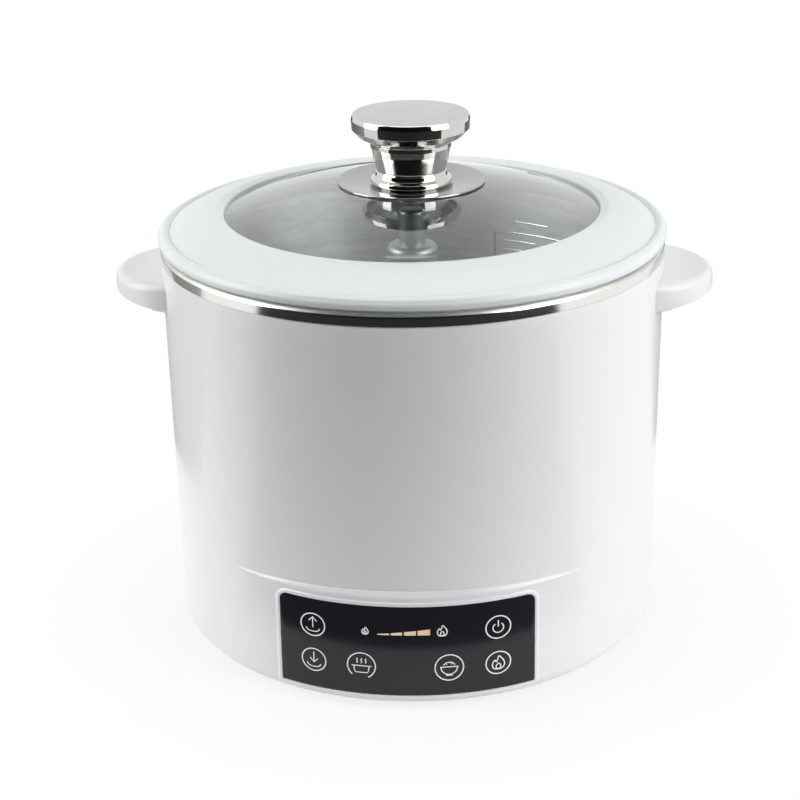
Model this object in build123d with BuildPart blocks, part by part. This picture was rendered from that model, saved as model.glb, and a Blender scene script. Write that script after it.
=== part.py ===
from build123d import *
import os
from math import cos, radians, sin, sqrt

# Electric hot pot with a lift-off glass lid and a strainer basket that a motor raises.
# Millimetres. The origin is the centre of the plane the feet stand on, +Z is up, the
# control panel faces -Y and the two handles point along X.

os.makedirs("parts", exist_ok=True)

# ------------------------------------------------------------------ clearances and fits
running_fit = 0.08  # radial, between pieces that turn or slide in one another
loose_fit = 0.4  # between a cover or plate and the opening it drops into
pass_gap = 2.0  # radial, between the basket's sleeve and the guide column

# ------------------------------------------------------------------ feet and bottom cover
foot_proud = 3.0
foot_recess = 1.0
foot_radius = 9.0
foot_inset = 31.0  # from the shell's lower radius to the feet's circle
cover_thickness = 2.8
cover_inset = 0.2
vent_slot_length = 26.0
vent_slot_width = 4.0
vent_inset = 40.0  # from the feet's circle to the vents' circle
vent_count = 12

# ------------------------------------------------------------------ outer shell
shell_bottom_radius = 131.0
shell_flare = 2.9  # how much wider the shell is at its top
shell_height = 203.8
shell_wall = 2.6
shell_edge_round = 6.0
shell_lip = 9.0
boss_radius = 5.0
boss_inset = 13.0
boss_height = 20.0
boss_count = 6
rib_thickness = 2.5

# ------------------------------------------------------------------ control pod and panel
pod_inset = 10.1  # how much smaller the pod's radius is than the shell's
pod_offset = 13.0
pod_ledge_height = 61.0
pod_slope_run = 2.3
pod_slope_rise = 3.2
pod_ledge_round = 2.5
panel_half_width = 65.0
panel_bottom = 6.0
panel_height = 50.0
panel_top_corner = 4.0
panel_bottom_corner = 1.0
panel_thickness = 1.6
panel_proud = 0.3
panel_gap = 0.2
bezel_width = 2.2
bezel_proud = 0.7
key_radius = 6.6
key_column_x = 47.6
key_upper_rise = 35.5
key_lower_rise = 15.5
mode_key_x = 22.6
mode_key_rise = 16.0
spring_radius = 5.0
spring_wall = 0.8
level_rise = 36.0
level_width = 34.0
level_height = 8.0
level_cells = 4
guide_wall = 1.0
led_size = 2.6
led_thickness = 1.2
board_depth = 21.9  # from the pod's front to the board's face
board_half_width = 57.0
board_bottom_rise = -0.5
board_height = 47.0
board_thickness = 1.6
board_post_radius = 3.0
board_post_x = 36.0
board_post_inset = 4.0
board_screw_length = 6.0
board_hole_depth = 8.0

# ------------------------------------------------------------------ inner pot
pot_inset = 8.9  # from the shell's upper radius to the pot's bore
pot_wall = 1.0
pot_floor_height = 80.0
pot_corner = 14.0
pot_rim_rise = 6.7
pot_rim_bead = 1.2
pot_rim_round = 2.0

# ------------------------------------------------------------------ handles
handle_reach = 26.1  # how far an ear stands out from the shell
handle_plan_radius = 42.0
handle_drop = 8.8
handle_thickness = 15.0
handle_round = 4.0
handle_wall = 3.2
handle_root = 7.0
handle_screw_spread = 18.0
handle_seat_gap = 0.3

# ------------------------------------------------------------------ heater
plate_bore = 26.0
plate_inset = 37.0  # from the pot's bore to the plate's edge
plate_thickness = 8.0
element_inset = 26.0  # from the plate's edge to the element
element_radius = 4.5
element_gap_angle = 24.0
element_rib = 3.0
element_sunk = 0.6  # share of the element's radius that the rib covers below the plate
element_terminal_length = 15.0
sensor_radius = 8.0
sensor_height = 11.0
sensor_inset = 20.0  # from the element to the sensor
sensor_angle = 100.0
fuse_radius = 3.0
fuse_length = 22.0
fuse_inset = 9.0
fuse_angle = 60.0
post_radius = 5.0
post_inset = 8.0
post_count = 3

# ------------------------------------------------------------------ lift: column, screw, tube
screw_radius = 4.0
tube_bore = 6.0
tube_wall = 1.6
column_bore = 9.0
column_wall = 2.0
column_drop = 13.5  # from the pot's rim down to the column's top
column_flange_radius = 19.0
column_flange_thickness = 2.5
column_tail = 7.0
gasket_thickness = 1.5
locknut_across_flats = 32.0
locknut_height = 6.5
lower_bush_height = 10.0
lower_bush_radius = 7.0
upper_bush_height = 8.0
upper_bush_flange = 2.0
keyway_width = 3.0
keyway_depth = 0.9
nut_flange_height = 8.5
nut_neck_height = 8.0
nut_start_gap = 0.5
cap_thickness = 3.0
cap_radius = 9.5
cap_plug = 7.0
cap_rest_gap = 1.0
screw_top_gap = 3.0
coupler_radius = 8.0
coupler_gap = 3.0
coupler_lift = 2.0
motor_shaft_radius = 3.0
gearbox_radius = 25.0
gearbox_height = 24.0
motor_can_radius = 17.0
motor_can_height = 13.0
bracket_radius = 30.0
bracket_thickness = 2.0
bracket_leg_width = 14.0
bracket_foot_length = 14.0
bracket_leg_count = 3
motor_top_height = 46.0

# ------------------------------------------------------------------ basket
basket_gap = 7.0  # from the pot's bore to the basket
basket_wall = 0.8
basket_depth = 67.0
basket_lift_gap = 6.8
basket_corner = 12.0
floor_disc_inset = 1.0  # from the wall's corner to the seam of the floor disc
basket_rim_radius = 2.0
wall_slot_count = 24
wall_slot_width = 5.0
wall_slot_length = 34.0
floor_slot_width = 4.0
floor_slot_length = 24.0
floor_slot_counts = (12, 24)  # inner ring, outer ring
floor_slot_insets = (20.0, 42.0)  # from the sleeve's flange, from the basket's wall
sleeve_wall = 1.0
sleeve_flange_radius = 22.0
sleeve_top_thickness = 3.0
sleeve_top_round = 2.4
stem_radius = 7.0
stem_height = 19.0

# ------------------------------------------------------------------ lid
lid_overhang = 1.1
lid_window_inset = 35.2
glass_thickness = 4.0
glass_rise = 17.37  # from the glass's edge to its top
glass_inset = 17.0
glass_hole_radius = 5.0
lid_rise = 26.5  # from the pot's rim to the top of the glass
ring_lip_rise = 1.5
ring_crest_in = 4.7
ring_crest_rise = 2.1
ring_band_bulge = 1.2
ring_lip_width = 6.1
ring_groove_half = 0.45
ring_groove_rise = 6.9
ring_groove_depth = 0.8
ring_outer_lip_rise = 8.6
ring_edge_rise = 4.9
ring_ledge_rise = 3.8
ring_ledge = 0.5
ring_grip = 11.7
ring_under_lip = 1.7
gasket_grip = 0.6
skirt_depth = 5.5
skirt_width = 3.0
skirt_gap = 1.0
gasket_radius = 16.0
dish_radius = 39.3
dish_thickness = 0.8
dish_rise = 1.9
dish_flat_radius = 22.0
lid_screw_radius = 3.0
lid_screw_head_radius = 6.5
lid_screw_head_height = 3.0
lid_washer_radius = 10.0
lid_washer_thickness = 1.5
lid_lower_gasket_thickness = 1.0
knob_base_radius = 21.8
knob_groove_radius = 18.4
knob_neck_top_radius = 20.6
knob_cap_radius = 31.2
knob_top_radius = 29.4
knob_neck_height = 19.7
knob_cap_height = 18.3
knob_wall = 2.2
knob_boss_radius = 6.5

# ------------------------------------------------------------------ power
power_board_width = 100.0
power_board_depth = 42.0
power_board_inset = 51.0  # from the shell's lower radius to the board's middle
power_board_lift = 8.0
relay_place = (-24.0, -6.0)  # from the board's middle
relay_size = (19.0, 15.5, 15.5)
relay_round = 1.0
transformer_place = (12.0, -4.0)
transformer_base = (26.0, 22.0, 4.0)
transformer_core = (22.0, 24.0, 16.0)
capacitor_place = (36.0, -8.0)
capacitor_radius = 5.0
capacitor_height = 18.0
capacitor_round = 0.8
standoff_radius = 3.5
standoff_inset = 5.0
inlet_height = 36.0
inlet_proud = 2.53
inlet_flange_width = 50.0
inlet_flange_height = 28.0
inlet_flange_corner = 3.0
inlet_flange_drop = 5.5  # how far the wall curves away behind the flange
inlet_body_width = 30.4
inlet_body_height = 24.4
inlet_body_depth = 22.0
socket_width = 24.4
socket_height = 16.6
socket_depth = 17.0
socket_chamfer = 4.0
pin_width = 2.0
pin_height = 4.0
pin_spacing = 14.0
pin_offset = 2.0
pin_recess = 5.2
pin_tail = 10.0
inlet_screw_spread = 20.0

# ------------------------------------------------------------------ screws
screw_shank_radius = 1.5
screw_head_radius = 3.0
screw_head_height = 1.6
screw_length = 12.0

# ------------------------------------------------------------------ heights and radii that follow
shell_bottom_z = foot_proud
shell_top_z = shell_bottom_z + shell_height
shell_top_radius = shell_bottom_radius + shell_flare
cover_bottom_z = shell_bottom_z + cover_inset
cover_top_z = cover_bottom_z + cover_thickness
lip_radius = shell_bottom_radius - shell_lip
foot_circle = shell_bottom_radius - foot_inset
vent_circle = foot_circle - vent_inset
boss_circle = shell_bottom_radius - boss_inset
pod_radius = shell_bottom_radius - pod_inset
panel_bottom_z = shell_bottom_z + panel_bottom
panel_top_z = panel_bottom_z + panel_height
pod_ledge_z = shell_bottom_z + pod_ledge_height
panel_back_radius = pod_radius + panel_proud - panel_thickness
board_front_y = board_depth - pod_radius - pod_offset
board_bottom_z = panel_bottom_z + board_bottom_rise
rim_top_z = shell_top_z + pot_rim_rise
pot_radius = shell_top_radius - pot_inset
pot_floor_z = pot_floor_height + pot_wall
plate_top_z = pot_floor_height
plate_bottom_z = plate_top_z - plate_thickness
plate_radius = pot_radius - plate_inset
element_circle = plate_radius - element_inset
sensor_circle = element_circle - sensor_inset
fuse_circle = plate_radius - fuse_inset
post_circle = plate_radius - post_inset
column_outer = column_bore + column_wall
column_height = rim_top_z - column_drop
column_bottom_z = pot_floor_height - column_tail
flange_bottom_z = pot_floor_z + gasket_thickness
flange_top_z = flange_bottom_z + column_flange_thickness
bore_bottom_z = flange_top_z + 0.8
nut_bottom_z = bore_bottom_z + nut_start_gap
nut_flange_top_z = nut_bottom_z + nut_flange_height
tube_outer = tube_bore + tube_wall
cap_bottom_z = column_height + upper_bush_flange + cap_rest_gap
cap_top_z = cap_bottom_z + cap_thickness
screw_top_z = cap_bottom_z - cap_plug - screw_top_gap
coupler_top_z = column_bottom_z - coupler_gap
coupler_bottom_z = motor_top_height + bracket_thickness + coupler_lift
coupler_middle_z = (coupler_bottom_z + coupler_top_z) / 2
sleeve_bore = column_outer + pass_gap
sleeve_outer = sleeve_bore + sleeve_wall
basket_radius = pot_radius - basket_gap
basket_floor_z = pot_floor_z + basket_lift_gap
basket_rim_z = basket_floor_z + basket_depth
floor_disc_radius = basket_radius - basket_corner - floor_disc_inset
sleeve_top_z = cap_top_z + sleeve_top_thickness
floor_slot_circles = (
    sleeve_flange_radius + floor_slot_insets[0],
    basket_radius - floor_slot_insets[1],
)
lid_radius = shell_top_radius + lid_overhang
lid_window_radius = lid_radius - lid_window_inset
glass_edge_radius = lid_radius - glass_inset
glass_sphere_radius = (glass_edge_radius**2 + glass_rise**2) / (2 * glass_rise)
lid_top_height = rim_top_z + lid_rise
glass_bottom_z = lid_top_height - glass_thickness
dish_bottom_z = lid_top_height + gasket_thickness
knob_bottom_z = dish_bottom_z + dish_thickness
knob_cap_z = knob_bottom_z + knob_neck_height
handle_tip = shell_top_radius + handle_reach
handle_top_z = shell_top_z - handle_drop
handle_bottom_z = handle_top_z - handle_thickness
handle_screw_z = (handle_top_z + handle_bottom_z) / 2
power_board_y = shell_bottom_radius - power_board_inset
power_board_z = cover_top_z + power_board_lift
inlet_wall_y = shell_bottom_radius + shell_flare * (inlet_height - shell_bottom_z) / shell_height
inlet_face_y = inlet_wall_y + inlet_proud


# ------------------------------------------------------------------ shared forms
def turned(*corners, centre_y=0.0, mode=Mode.ADD):
    """Revolve a closed outline of (radius, height, corner round) about a vertical axis."""
    with BuildSketch(Plane.XZ.offset(-centre_y)) as profile:
        with BuildLine():
            FilletPolyline(
                *[(x, z) for x, z, _ in corners], radius=[r for _, _, r in corners], close=True
            )
        make_face()
    revolve(profile.sketch, axis=Axis((0, centre_y, 0), (0, 0, 1)), mode=mode)


def ring(inner, outer, bottom, top, mode=Mode.ADD):
    """Plain tube or washer about the Z axis."""
    turned((inner, bottom, 0), (outer, bottom, 0), (outer, top, 0), (inner, top, 0), mode=mode)


def disc(radius, bottom, top, mode=Mode.ADD):
    """Plain cylinder about the Z axis."""
    ring(0, radius, bottom, top, mode)


def save(piece, label):
    """Label a finished piece and write its STEP file."""
    piece.part.label = label
    export_step(piece.part, f"parts/{label}.step")


def polar(radius, angle):
    """Point on a circle about the Z axis."""
    return radius * cos(radians(angle)), radius * sin(radians(angle))


def shell_body():
    """The shell's outside as a solid: a slightly flared drum with a rounded lower edge."""
    with BuildPart(mode=Mode.PRIVATE) as body:
        turned(
            (0, shell_bottom_z, 0),
            (shell_bottom_radius, shell_bottom_z, shell_edge_round),
            (shell_top_radius, shell_top_z, 0),
            (0, shell_top_z, 0),
        )
    return body.part


def pod_plate(grow, inner_radius, outer_radius):
    """Plate that follows the pod's curve, with the panel's outline grown by a margin."""
    bottom = panel_bottom_z - grow
    top = panel_top_z + grow
    side = panel_half_width + grow
    lower = panel_bottom_corner + max(grow, 0)
    upper = panel_top_corner + max(grow, 0)
    with BuildPart(mode=Mode.PRIVATE) as plate:
        turned(
            (inner_radius, bottom, 0),
            (outer_radius, bottom, 0),
            (outer_radius, top, 0),
            (inner_radius, top, 0),
            centre_y=-pod_offset,
        )
        with BuildSketch(Plane.XZ.offset(pod_offset)):
            with BuildLine():
                FilletPolyline(
                    (-side, bottom),
                    (side, bottom),
                    (side, top),
                    (-side, top),
                    radius=[lower, lower, upper, upper],
                    close=True,
                )
            make_face()
        extrude(amount=outer_radius + 1, mode=Mode.INTERSECT)
    return plate.part


def pod_disc(radius):
    """Solid inside a cylinder about the pod's own axis."""
    with BuildPart(mode=Mode.PRIVATE) as inside:
        with BuildSketch(Plane.XY.offset(shell_bottom_z)):
            with Locations((0, -pod_offset)):
                Circle(radius)
        extrude(amount=pod_ledge_height)
    return inside.part


key_places = [
    (side * key_column_x, panel_bottom_z + rise)
    for side in (-1, 1)
    for rise in (key_lower_rise, key_upper_rise)
] + [(side * mode_key_x, panel_bottom_z + mode_key_rise) for side in (-1, 1)]
board_posts = [
    (side * board_post_x, z)
    for side in (-1, 1)
    for z in (board_bottom_z + board_post_inset, board_bottom_z + board_height - board_post_inset)
]
boss_places = [polar(boss_circle, 360 * i / boss_count) for i in range(boss_count)]
post_places = [polar(post_circle, 30 + 360 * i / post_count) for i in range(post_count)]
foot_places = [polar(foot_circle, 45 + 90 * i) for i in range(4)]
bracket_angles = [90 + 360 * i / bracket_leg_count for i in range(bracket_leg_count)]
bracket_foot_circle = bracket_radius + bracket_thickness + bracket_foot_length / 2
bracket_places = [polar(bracket_foot_circle, a) for a in bracket_angles]
standoff_x = power_board_width / 2 - standoff_inset
standoff_y = power_board_depth / 2 - standoff_inset
standoff_places = [
    (sx * standoff_x, power_board_y + sy * standoff_y) for sx in (-1, 1) for sy in (-1, 1)
]
handle_screw_places = [(side * handle_screw_spread, handle_screw_z) for side in (-1, 1)]
inlet_screw_places = [(side * inlet_screw_spread, inlet_height) for side in (-1, 1)]

# ------------------------------------------------------------------ outer shell
# One moulding: flared drum, front pod with a raised bezel round the panel's recess,
# inward lip at the bottom, six screw bosses and four posts for the control board.
pod_inner = pod_radius - shell_wall - 0.4
with BuildPart() as outer_shell:
    add(shell_body())
    turned(
        (0, shell_bottom_z, 0),
        (pod_radius, shell_bottom_z, shell_edge_round),
        (pod_radius, pod_ledge_z, pod_ledge_round),
        (pod_radius - pod_slope_run, pod_ledge_z + pod_slope_rise, 0),
        (0, pod_ledge_z + pod_slope_rise, 0),
        centre_y=-pod_offset,
    )
    add(pod_plate(bezel_width, pod_inner + 1, pod_radius + bezel_proud))
    turned(
        (0, shell_bottom_z + shell_wall, 0),
        (shell_bottom_radius - shell_wall, shell_bottom_z + shell_wall, shell_edge_round - shell_wall),
        (shell_top_radius - shell_wall, shell_top_z, 0),
        (0, shell_top_z, 0),
        mode=Mode.SUBTRACT,
    )
    turned(
        (0, shell_bottom_z + shell_wall, 0),
        (pod_inner, shell_bottom_z + shell_wall, shell_edge_round - shell_wall),
        (pod_inner, pod_ledge_z - shell_wall, 0),
        (pod_inner - pod_slope_run, pod_ledge_z, 0),
        (0, pod_ledge_z, 0),
        centre_y=-pod_offset,
        mode=Mode.SUBTRACT,
    )
    disc(lip_radius, shell_bottom_z, shell_bottom_z + shell_wall, Mode.SUBTRACT)
    add(pod_plate(panel_gap, panel_back_radius, pod_radius + 2 * bezel_proud), mode=Mode.SUBTRACT)
    # Posts that carry the control board, and the openings behind the keys and the level bar
    with BuildSketch(Plane.XZ.offset(-board_front_y)):
        with Locations(*board_posts):
            Circle(board_post_radius)
    extrude(until=Until.NEXT)
    with BuildSketch(Plane.XZ.offset(-board_front_y)):
        with Locations(*key_places):
            Circle(key_radius)
        with Locations((0, panel_bottom_z + level_rise)):
            Rectangle(level_width + 2 * guide_wall, level_height + 2 * guide_wall)
    extrude(amount=pod_radius, mode=Mode.SUBTRACT)
    with BuildSketch(Plane.XZ.offset(-board_front_y)):
        with Locations(*board_posts):
            Circle(screw_shank_radius)
    extrude(amount=board_hole_depth, mode=Mode.SUBTRACT)
    # Screw bosses, each tied to the wall by a rib
    with BuildSketch(Plane.XY.offset(cover_top_z)):
        with Locations(*boss_places):
            Circle(boss_radius)
    extrude(amount=boss_height)
    rib_length = shell_bottom_radius - shell_wall / 2 - boss_circle
    with BuildSketch(Plane.XY.offset(cover_top_z)):
        with PolarLocations(boss_circle + boss_radius - 1 + rib_length / 4, boss_count):
            Rectangle(rib_length / 2 + 2, rib_thickness)
    extrude(amount=boss_height)
    with BuildSketch(Plane.XY.offset(cover_top_z)):
        with Locations(*boss_places):
            Circle(screw_shank_radius)
    extrude(amount=screw_length, mode=Mode.SUBTRACT)
    # Window and screw holes of the power inlet, and the handles' screw holes
    with BuildSketch(Plane.XZ.offset(-inlet_face_y)):
        with Locations((0, inlet_height)):
            Rectangle(inlet_body_width + loose_fit, inlet_body_height + loose_fit)
        with Locations(*inlet_screw_places):
            Circle(screw_shank_radius)
    extrude(amount=inlet_body_depth, mode=Mode.SUBTRACT)
    with BuildSketch(Plane.YZ):
        with Locations(*handle_screw_places):
            Circle(screw_shank_radius)
    extrude(amount=handle_tip, both=True, mode=Mode.SUBTRACT)
save(outer_shell, "outer_shell")

# ------------------------------------------------------------------ control panel
with BuildPart() as control_panel:
    add(pod_plate(0, panel_back_radius, pod_radius + panel_proud))
save(control_panel, "control_panel")

# ------------------------------------------------------------------ control board
# Flat board behind the curved panel. Six touch springs reach forward to the keys and a
# white light guide with four cells carries the level lights to the panel.
with BuildPart() as control_board:
    with BuildSketch(Plane.XZ.offset(-board_front_y - board_thickness)):
        with Locations((0, board_bottom_z + board_height / 2)):
            Rectangle(2 * board_half_width, board_height)
        with Locations(*board_posts):
            Circle(screw_shank_radius, mode=Mode.SUBTRACT)
    extrude(amount=board_thickness)
save(control_board, "control_board")

with BuildPart() as board_screws:
    with BuildSketch(Plane.XZ.offset(-board_front_y - board_thickness)):
        with Locations(*board_posts):
            Circle(screw_head_radius)
    extrude(amount=-screw_head_height)
    with BuildSketch(Plane.XZ.offset(-board_front_y - board_thickness)):
        with Locations(*board_posts):
            Circle(screw_shank_radius)
    extrude(amount=board_thickness + board_screw_length)
save(board_screws, "board_screws")

with BuildPart() as touch_springs:
    with BuildSketch(Plane.XZ.offset(-board_front_y)):
        with Locations(*key_places):
            Circle(spring_radius)
            Circle(spring_radius - spring_wall, mode=Mode.SUBTRACT)
    extrude(amount=pod_radius / 4)
    add(pod_disc(panel_back_radius), mode=Mode.INTERSECT)
save(touch_springs, "touch_springs")

level_z = panel_bottom_z + level_rise
cell_pitch = level_width / level_cells
with BuildPart() as light_guide:
    with BuildSketch(Plane.XZ.offset(-board_front_y)):
        with Locations((0, level_z)):
            Rectangle(level_width, level_height)
            with GridLocations(cell_pitch, 1, level_cells, 1):
                Rectangle(cell_pitch - guide_wall, level_height - 2 * guide_wall, mode=Mode.SUBTRACT)
    extrude(amount=pod_radius / 4)
    add(pod_disc(panel_back_radius), mode=Mode.INTERSECT)
save(light_guide, "light_guide")

with BuildPart() as level_leds:
    with BuildSketch(Plane.XZ.offset(-board_front_y)):
        with Locations((0, level_z)):
            with GridLocations(cell_pitch, 1, level_cells, 1):
                Rectangle(led_size, led_size)
    extrude(amount=led_thickness)
save(level_leds, "level_leds")

# ------------------------------------------------------------------ inner pot
# Deep-drawn pot whose wall flares into a flat rim and rolls down over the shell's edge.
rim_outer = shell_top_radius
with BuildPart() as inner_pot:
    turned(
        (0, pot_floor_height, 0),
        (pot_radius + pot_wall, pot_floor_height, pot_corner + pot_wall),
        (pot_radius + pot_wall, rim_top_z - pot_wall, pot_rim_round),
        (rim_outer - pot_wall, rim_top_z - pot_wall, pot_rim_bead),
        (rim_outer - pot_wall, shell_top_z, 0),
        (rim_outer, shell_top_z, 0),
        (rim_outer, rim_top_z, pot_rim_bead + pot_wall),
        (pot_radius, rim_top_z, pot_rim_round + pot_wall),
        (pot_radius, pot_floor_z, pot_corner),
        (0, pot_floor_z, 0),
    )
    disc(column_outer, pot_floor_height, pot_floor_z, Mode.SUBTRACT)
save(inner_pot, "inner_pot")


# ------------------------------------------------------------------ handles
def handle(side):
    """Moulded ear: a rounded tab seated on the shell, hollow underneath for the fingers."""
    centre_x = side * (handle_tip - handle_plan_radius)
    with BuildPart(mode=Mode.PRIVATE) as ear:
        with BuildSketch(Plane.XY.offset(handle_bottom_z)):
            with Locations((centre_x, 0)):
                Circle(handle_plan_radius)
        extrude(amount=handle_thickness)
        fillet(ear.edges().group_by(Axis.Z)[-1], handle_round)
        fillet(ear.edges().group_by(Axis.Z)[0], handle_round / 3)
        with BuildSketch(Plane.XY.offset(handle_bottom_z)):
            with Locations((centre_x, 0)):
                Circle(handle_plan_radius - handle_wall)
            Circle(shell_top_radius + handle_root, mode=Mode.SUBTRACT)
        extrude(amount=handle_thickness - handle_wall, mode=Mode.SUBTRACT)
        add(shell_body(), mode=Mode.SUBTRACT)
        with BuildSketch(Plane.YZ):
            with Locations(*handle_screw_places):
                Circle(screw_shank_radius)
        extrude(amount=side * (shell_top_radius + handle_root - 2), mode=Mode.SUBTRACT)
    return ear.part


with BuildPart() as handle_right:
    add(handle(1))
save(handle_right, "handle_right")

with BuildPart() as handle_left:
    add(handle(-1))
save(handle_left, "handle_left")

handle_seat_radius = shell_top_radius - shell_wall - handle_seat_gap
handle_seat_x = sqrt(handle_seat_radius**2 - (handle_screw_spread + screw_head_radius) ** 2)
with BuildPart() as handle_screws:
    for side in (-1, 1):
        with BuildSketch(Plane.YZ.offset(side * handle_seat_x)):
            with Locations(*handle_screw_places):
                Circle(screw_shank_radius)
        extrude(amount=side * screw_length / 1.5)
        with BuildSketch(Plane.YZ.offset(side * handle_seat_x)):
            with Locations(*handle_screw_places):
                Circle(screw_head_radius)
        extrude(amount=-side * screw_head_height)
save(handle_screws, "handle_screws")

# ------------------------------------------------------------------ heater
# Cast aluminium plate under the pot's floor, with a rib that holds the tubular element.
element_z = plate_bottom_z
with BuildPart() as heating_element:
    with BuildSketch(Plane.XZ):
        with Locations((element_circle, element_z)):
            Circle(element_radius)
    revolve(axis=Axis.Z, revolution_arc=360 - element_gap_angle)
    for angle in (0, 360 - element_gap_angle):
        x, y = polar(element_circle, angle)
        with BuildSketch(Plane.XY.offset(element_z)):
            with Locations((x, y)):
                Circle(element_radius - 0.5)
        extrude(amount=-element_terminal_length)
save(heating_element, "heating_element")

with BuildPart() as heating_plate:
    ring(plate_bore, plate_radius, plate_bottom_z, plate_top_z)
    ring(
        element_circle - element_radius - element_rib,
        element_circle + element_radius + element_rib,
        plate_bottom_z - element_radius * element_sunk,
        plate_bottom_z,
    )
    add(heating_element.part, mode=Mode.SUBTRACT)
save(heating_plate, "heating_plate")

sensor_x, sensor_y = polar(sensor_circle, sensor_angle)
with BuildPart() as temperature_sensor:
    with BuildSketch(Plane.XY.offset(plate_bottom_z)):
        with Locations((sensor_x, sensor_y)):
            Circle(sensor_radius)
    extrude(amount=-sensor_height)
    with BuildSketch(Plane.XY.offset(plate_bottom_z - sensor_height)):
        with Locations((sensor_x, sensor_y)):
            with GridLocations(sensor_radius, 1, 2, 1):
                Rectangle(1.0, 4.0)
    extrude(amount=-sensor_height / 2)
save(temperature_sensor, "temperature_sensor")

fuse_x, fuse_y = polar(fuse_circle, fuse_angle)
fuse_plane = Plane(
    origin=(fuse_x, fuse_y, plate_bottom_z - fuse_radius),
    z_dir=(-sin(radians(fuse_angle)), cos(radians(fuse_angle)), 0),
)
with BuildPart() as thermal_fuse:
    with BuildSketch(fuse_plane.offset(-fuse_length / 2)):
        Circle(fuse_radius)
    extrude(amount=fuse_length)
save(thermal_fuse, "thermal_fuse")

with BuildPart() as support_posts:
    with BuildSketch(Plane.XY.offset(cover_top_z)):
        with Locations(*post_places):
            RegularPolygon(post_radius, 6)
            Circle(screw_shank_radius, mode=Mode.SUBTRACT)
    extrude(amount=plate_bottom_z - cover_top_z)
save(support_posts, "support_posts")

# ------------------------------------------------------------------ guide column
# Stainless tube bolted through the pot's floor; its bore has a keyway for the lift nut.
with BuildPart() as guide_column:
    turned(
        (lower_bush_radius, column_bottom_z, 0),
        (column_outer, column_bottom_z, 0),
        (column_outer, flange_bottom_z, 0),
        (column_flange_radius, flange_bottom_z, 0),
        (column_flange_radius, flange_top_z, 0.8),
        (column_outer, flange_top_z, 1.0),
        (column_outer, column_height, 0),
        (column_bore, column_height, 0),
        (column_bore, bore_bottom_z, 0),
        (lower_bush_radius, bore_bottom_z, 0),
    )
    with BuildSketch(Plane.XY.offset(bore_bottom_z)):
        with Locations((column_bore, 0)):
            Rectangle(2 * keyway_depth, keyway_width)
    extrude(amount=column_height - bore_bottom_z - upper_bush_height, mode=Mode.SUBTRACT)
save(guide_column, "guide_column")

with BuildPart() as column_gasket:
    ring(column_outer, column_flange_radius, pot_floor_z, flange_bottom_z)
save(column_gasket, "column_gasket")

with BuildPart() as column_nut:
    with BuildSketch(Plane.XY.offset(pot_floor_height - locknut_height)):
        RegularPolygon(locknut_across_flats / 2, 6, major_radius=False)
        Circle(column_outer, mode=Mode.SUBTRACT)
    extrude(amount=locknut_height)
save(column_nut, "column_nut")

with BuildPart() as lower_bush:
    ring(
        screw_radius + running_fit,
        lower_bush_radius,
        column_bottom_z,
        column_bottom_z + lower_bush_height,
    )
save(lower_bush, "lower_bush")

with BuildPart() as upper_bush:
    ring(tube_outer + running_fit, column_bore, column_height - upper_bush_height, column_height)
    ring(tube_outer + running_fit, column_outer - 0.3, column_height, column_height + upper_bush_flange)
save(upper_bush, "upper_bush")

# ------------------------------------------------------------------ carriage: nut, tube, cap
with BuildPart() as lift_nut:
    ring(screw_radius + running_fit, column_bore - running_fit, nut_bottom_z, nut_flange_top_z)
    ring(screw_radius + running_fit, tube_bore, nut_flange_top_z, nut_flange_top_z + nut_neck_height)
    with BuildSketch(Plane.XY.offset(nut_bottom_z)):
        with Locations((column_bore - keyway_depth / 2, 0)):
            Rectangle(2 * keyway_depth, keyway_width - 0.6)
    extrude(amount=nut_flange_height)
save(lift_nut, "lift_nut")

with BuildPart() as push_tube:
    ring(tube_bore, tube_outer, nut_flange_top_z, cap_bottom_z)
save(push_tube, "push_tube")

with BuildPart() as tube_cap:
    turned(
        (0, cap_bottom_z - cap_plug, 0),
        (tube_bore, cap_bottom_z - cap_plug, 0.5),
        (tube_bore, cap_bottom_z, 0),
        (cap_radius, cap_bottom_z, 0.5),
        (cap_radius, cap_top_z, 0.8),
        (0, cap_top_z, 0),
    )
save(tube_cap, "tube_cap")

# ------------------------------------------------------------------ screw and its coupler
with BuildPart() as lead_screw:
    disc(screw_radius, coupler_middle_z, screw_top_z)
    chamfer(lead_screw.edges().group_by(Axis.Z)[-1], screw_radius / 5)
save(lead_screw, "lead_screw")

with BuildPart() as shaft_coupler:
    ring(screw_radius, coupler_radius, coupler_middle_z, coupler_top_z)
    ring(motor_shaft_radius, coupler_radius, coupler_bottom_z, coupler_middle_z)
save(shaft_coupler, "shaft_coupler")

shaft_bottom_z = motor_top_height - gearbox_height / 3
with BuildPart() as motor_shaft:
    disc(motor_shaft_radius, shaft_bottom_z, coupler_middle_z - 0.5)
save(motor_shaft, "motor_shaft")

# ------------------------------------------------------------------ lift motor and bracket
gearbox_bottom_z = motor_top_height - gearbox_height
with BuildPart() as lift_motor:
    disc(gearbox_radius, gearbox_bottom_z, motor_top_height)
    fillet(lift_motor.edges().group_by(Axis.Z)[0], 1.5)
    disc(motor_can_radius, gearbox_bottom_z - motor_can_height, gearbox_bottom_z)
    disc(motor_shaft_radius + running_fit, shaft_bottom_z - 1, motor_top_height, Mode.SUBTRACT)
    with BuildSketch(Plane.XY.offset(motor_top_height)):
        with PolarLocations(motor_can_radius, 2):
            Circle(screw_shank_radius)
    extrude(amount=-screw_length / 2, mode=Mode.SUBTRACT)
save(lift_motor, "lift_motor")

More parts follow.
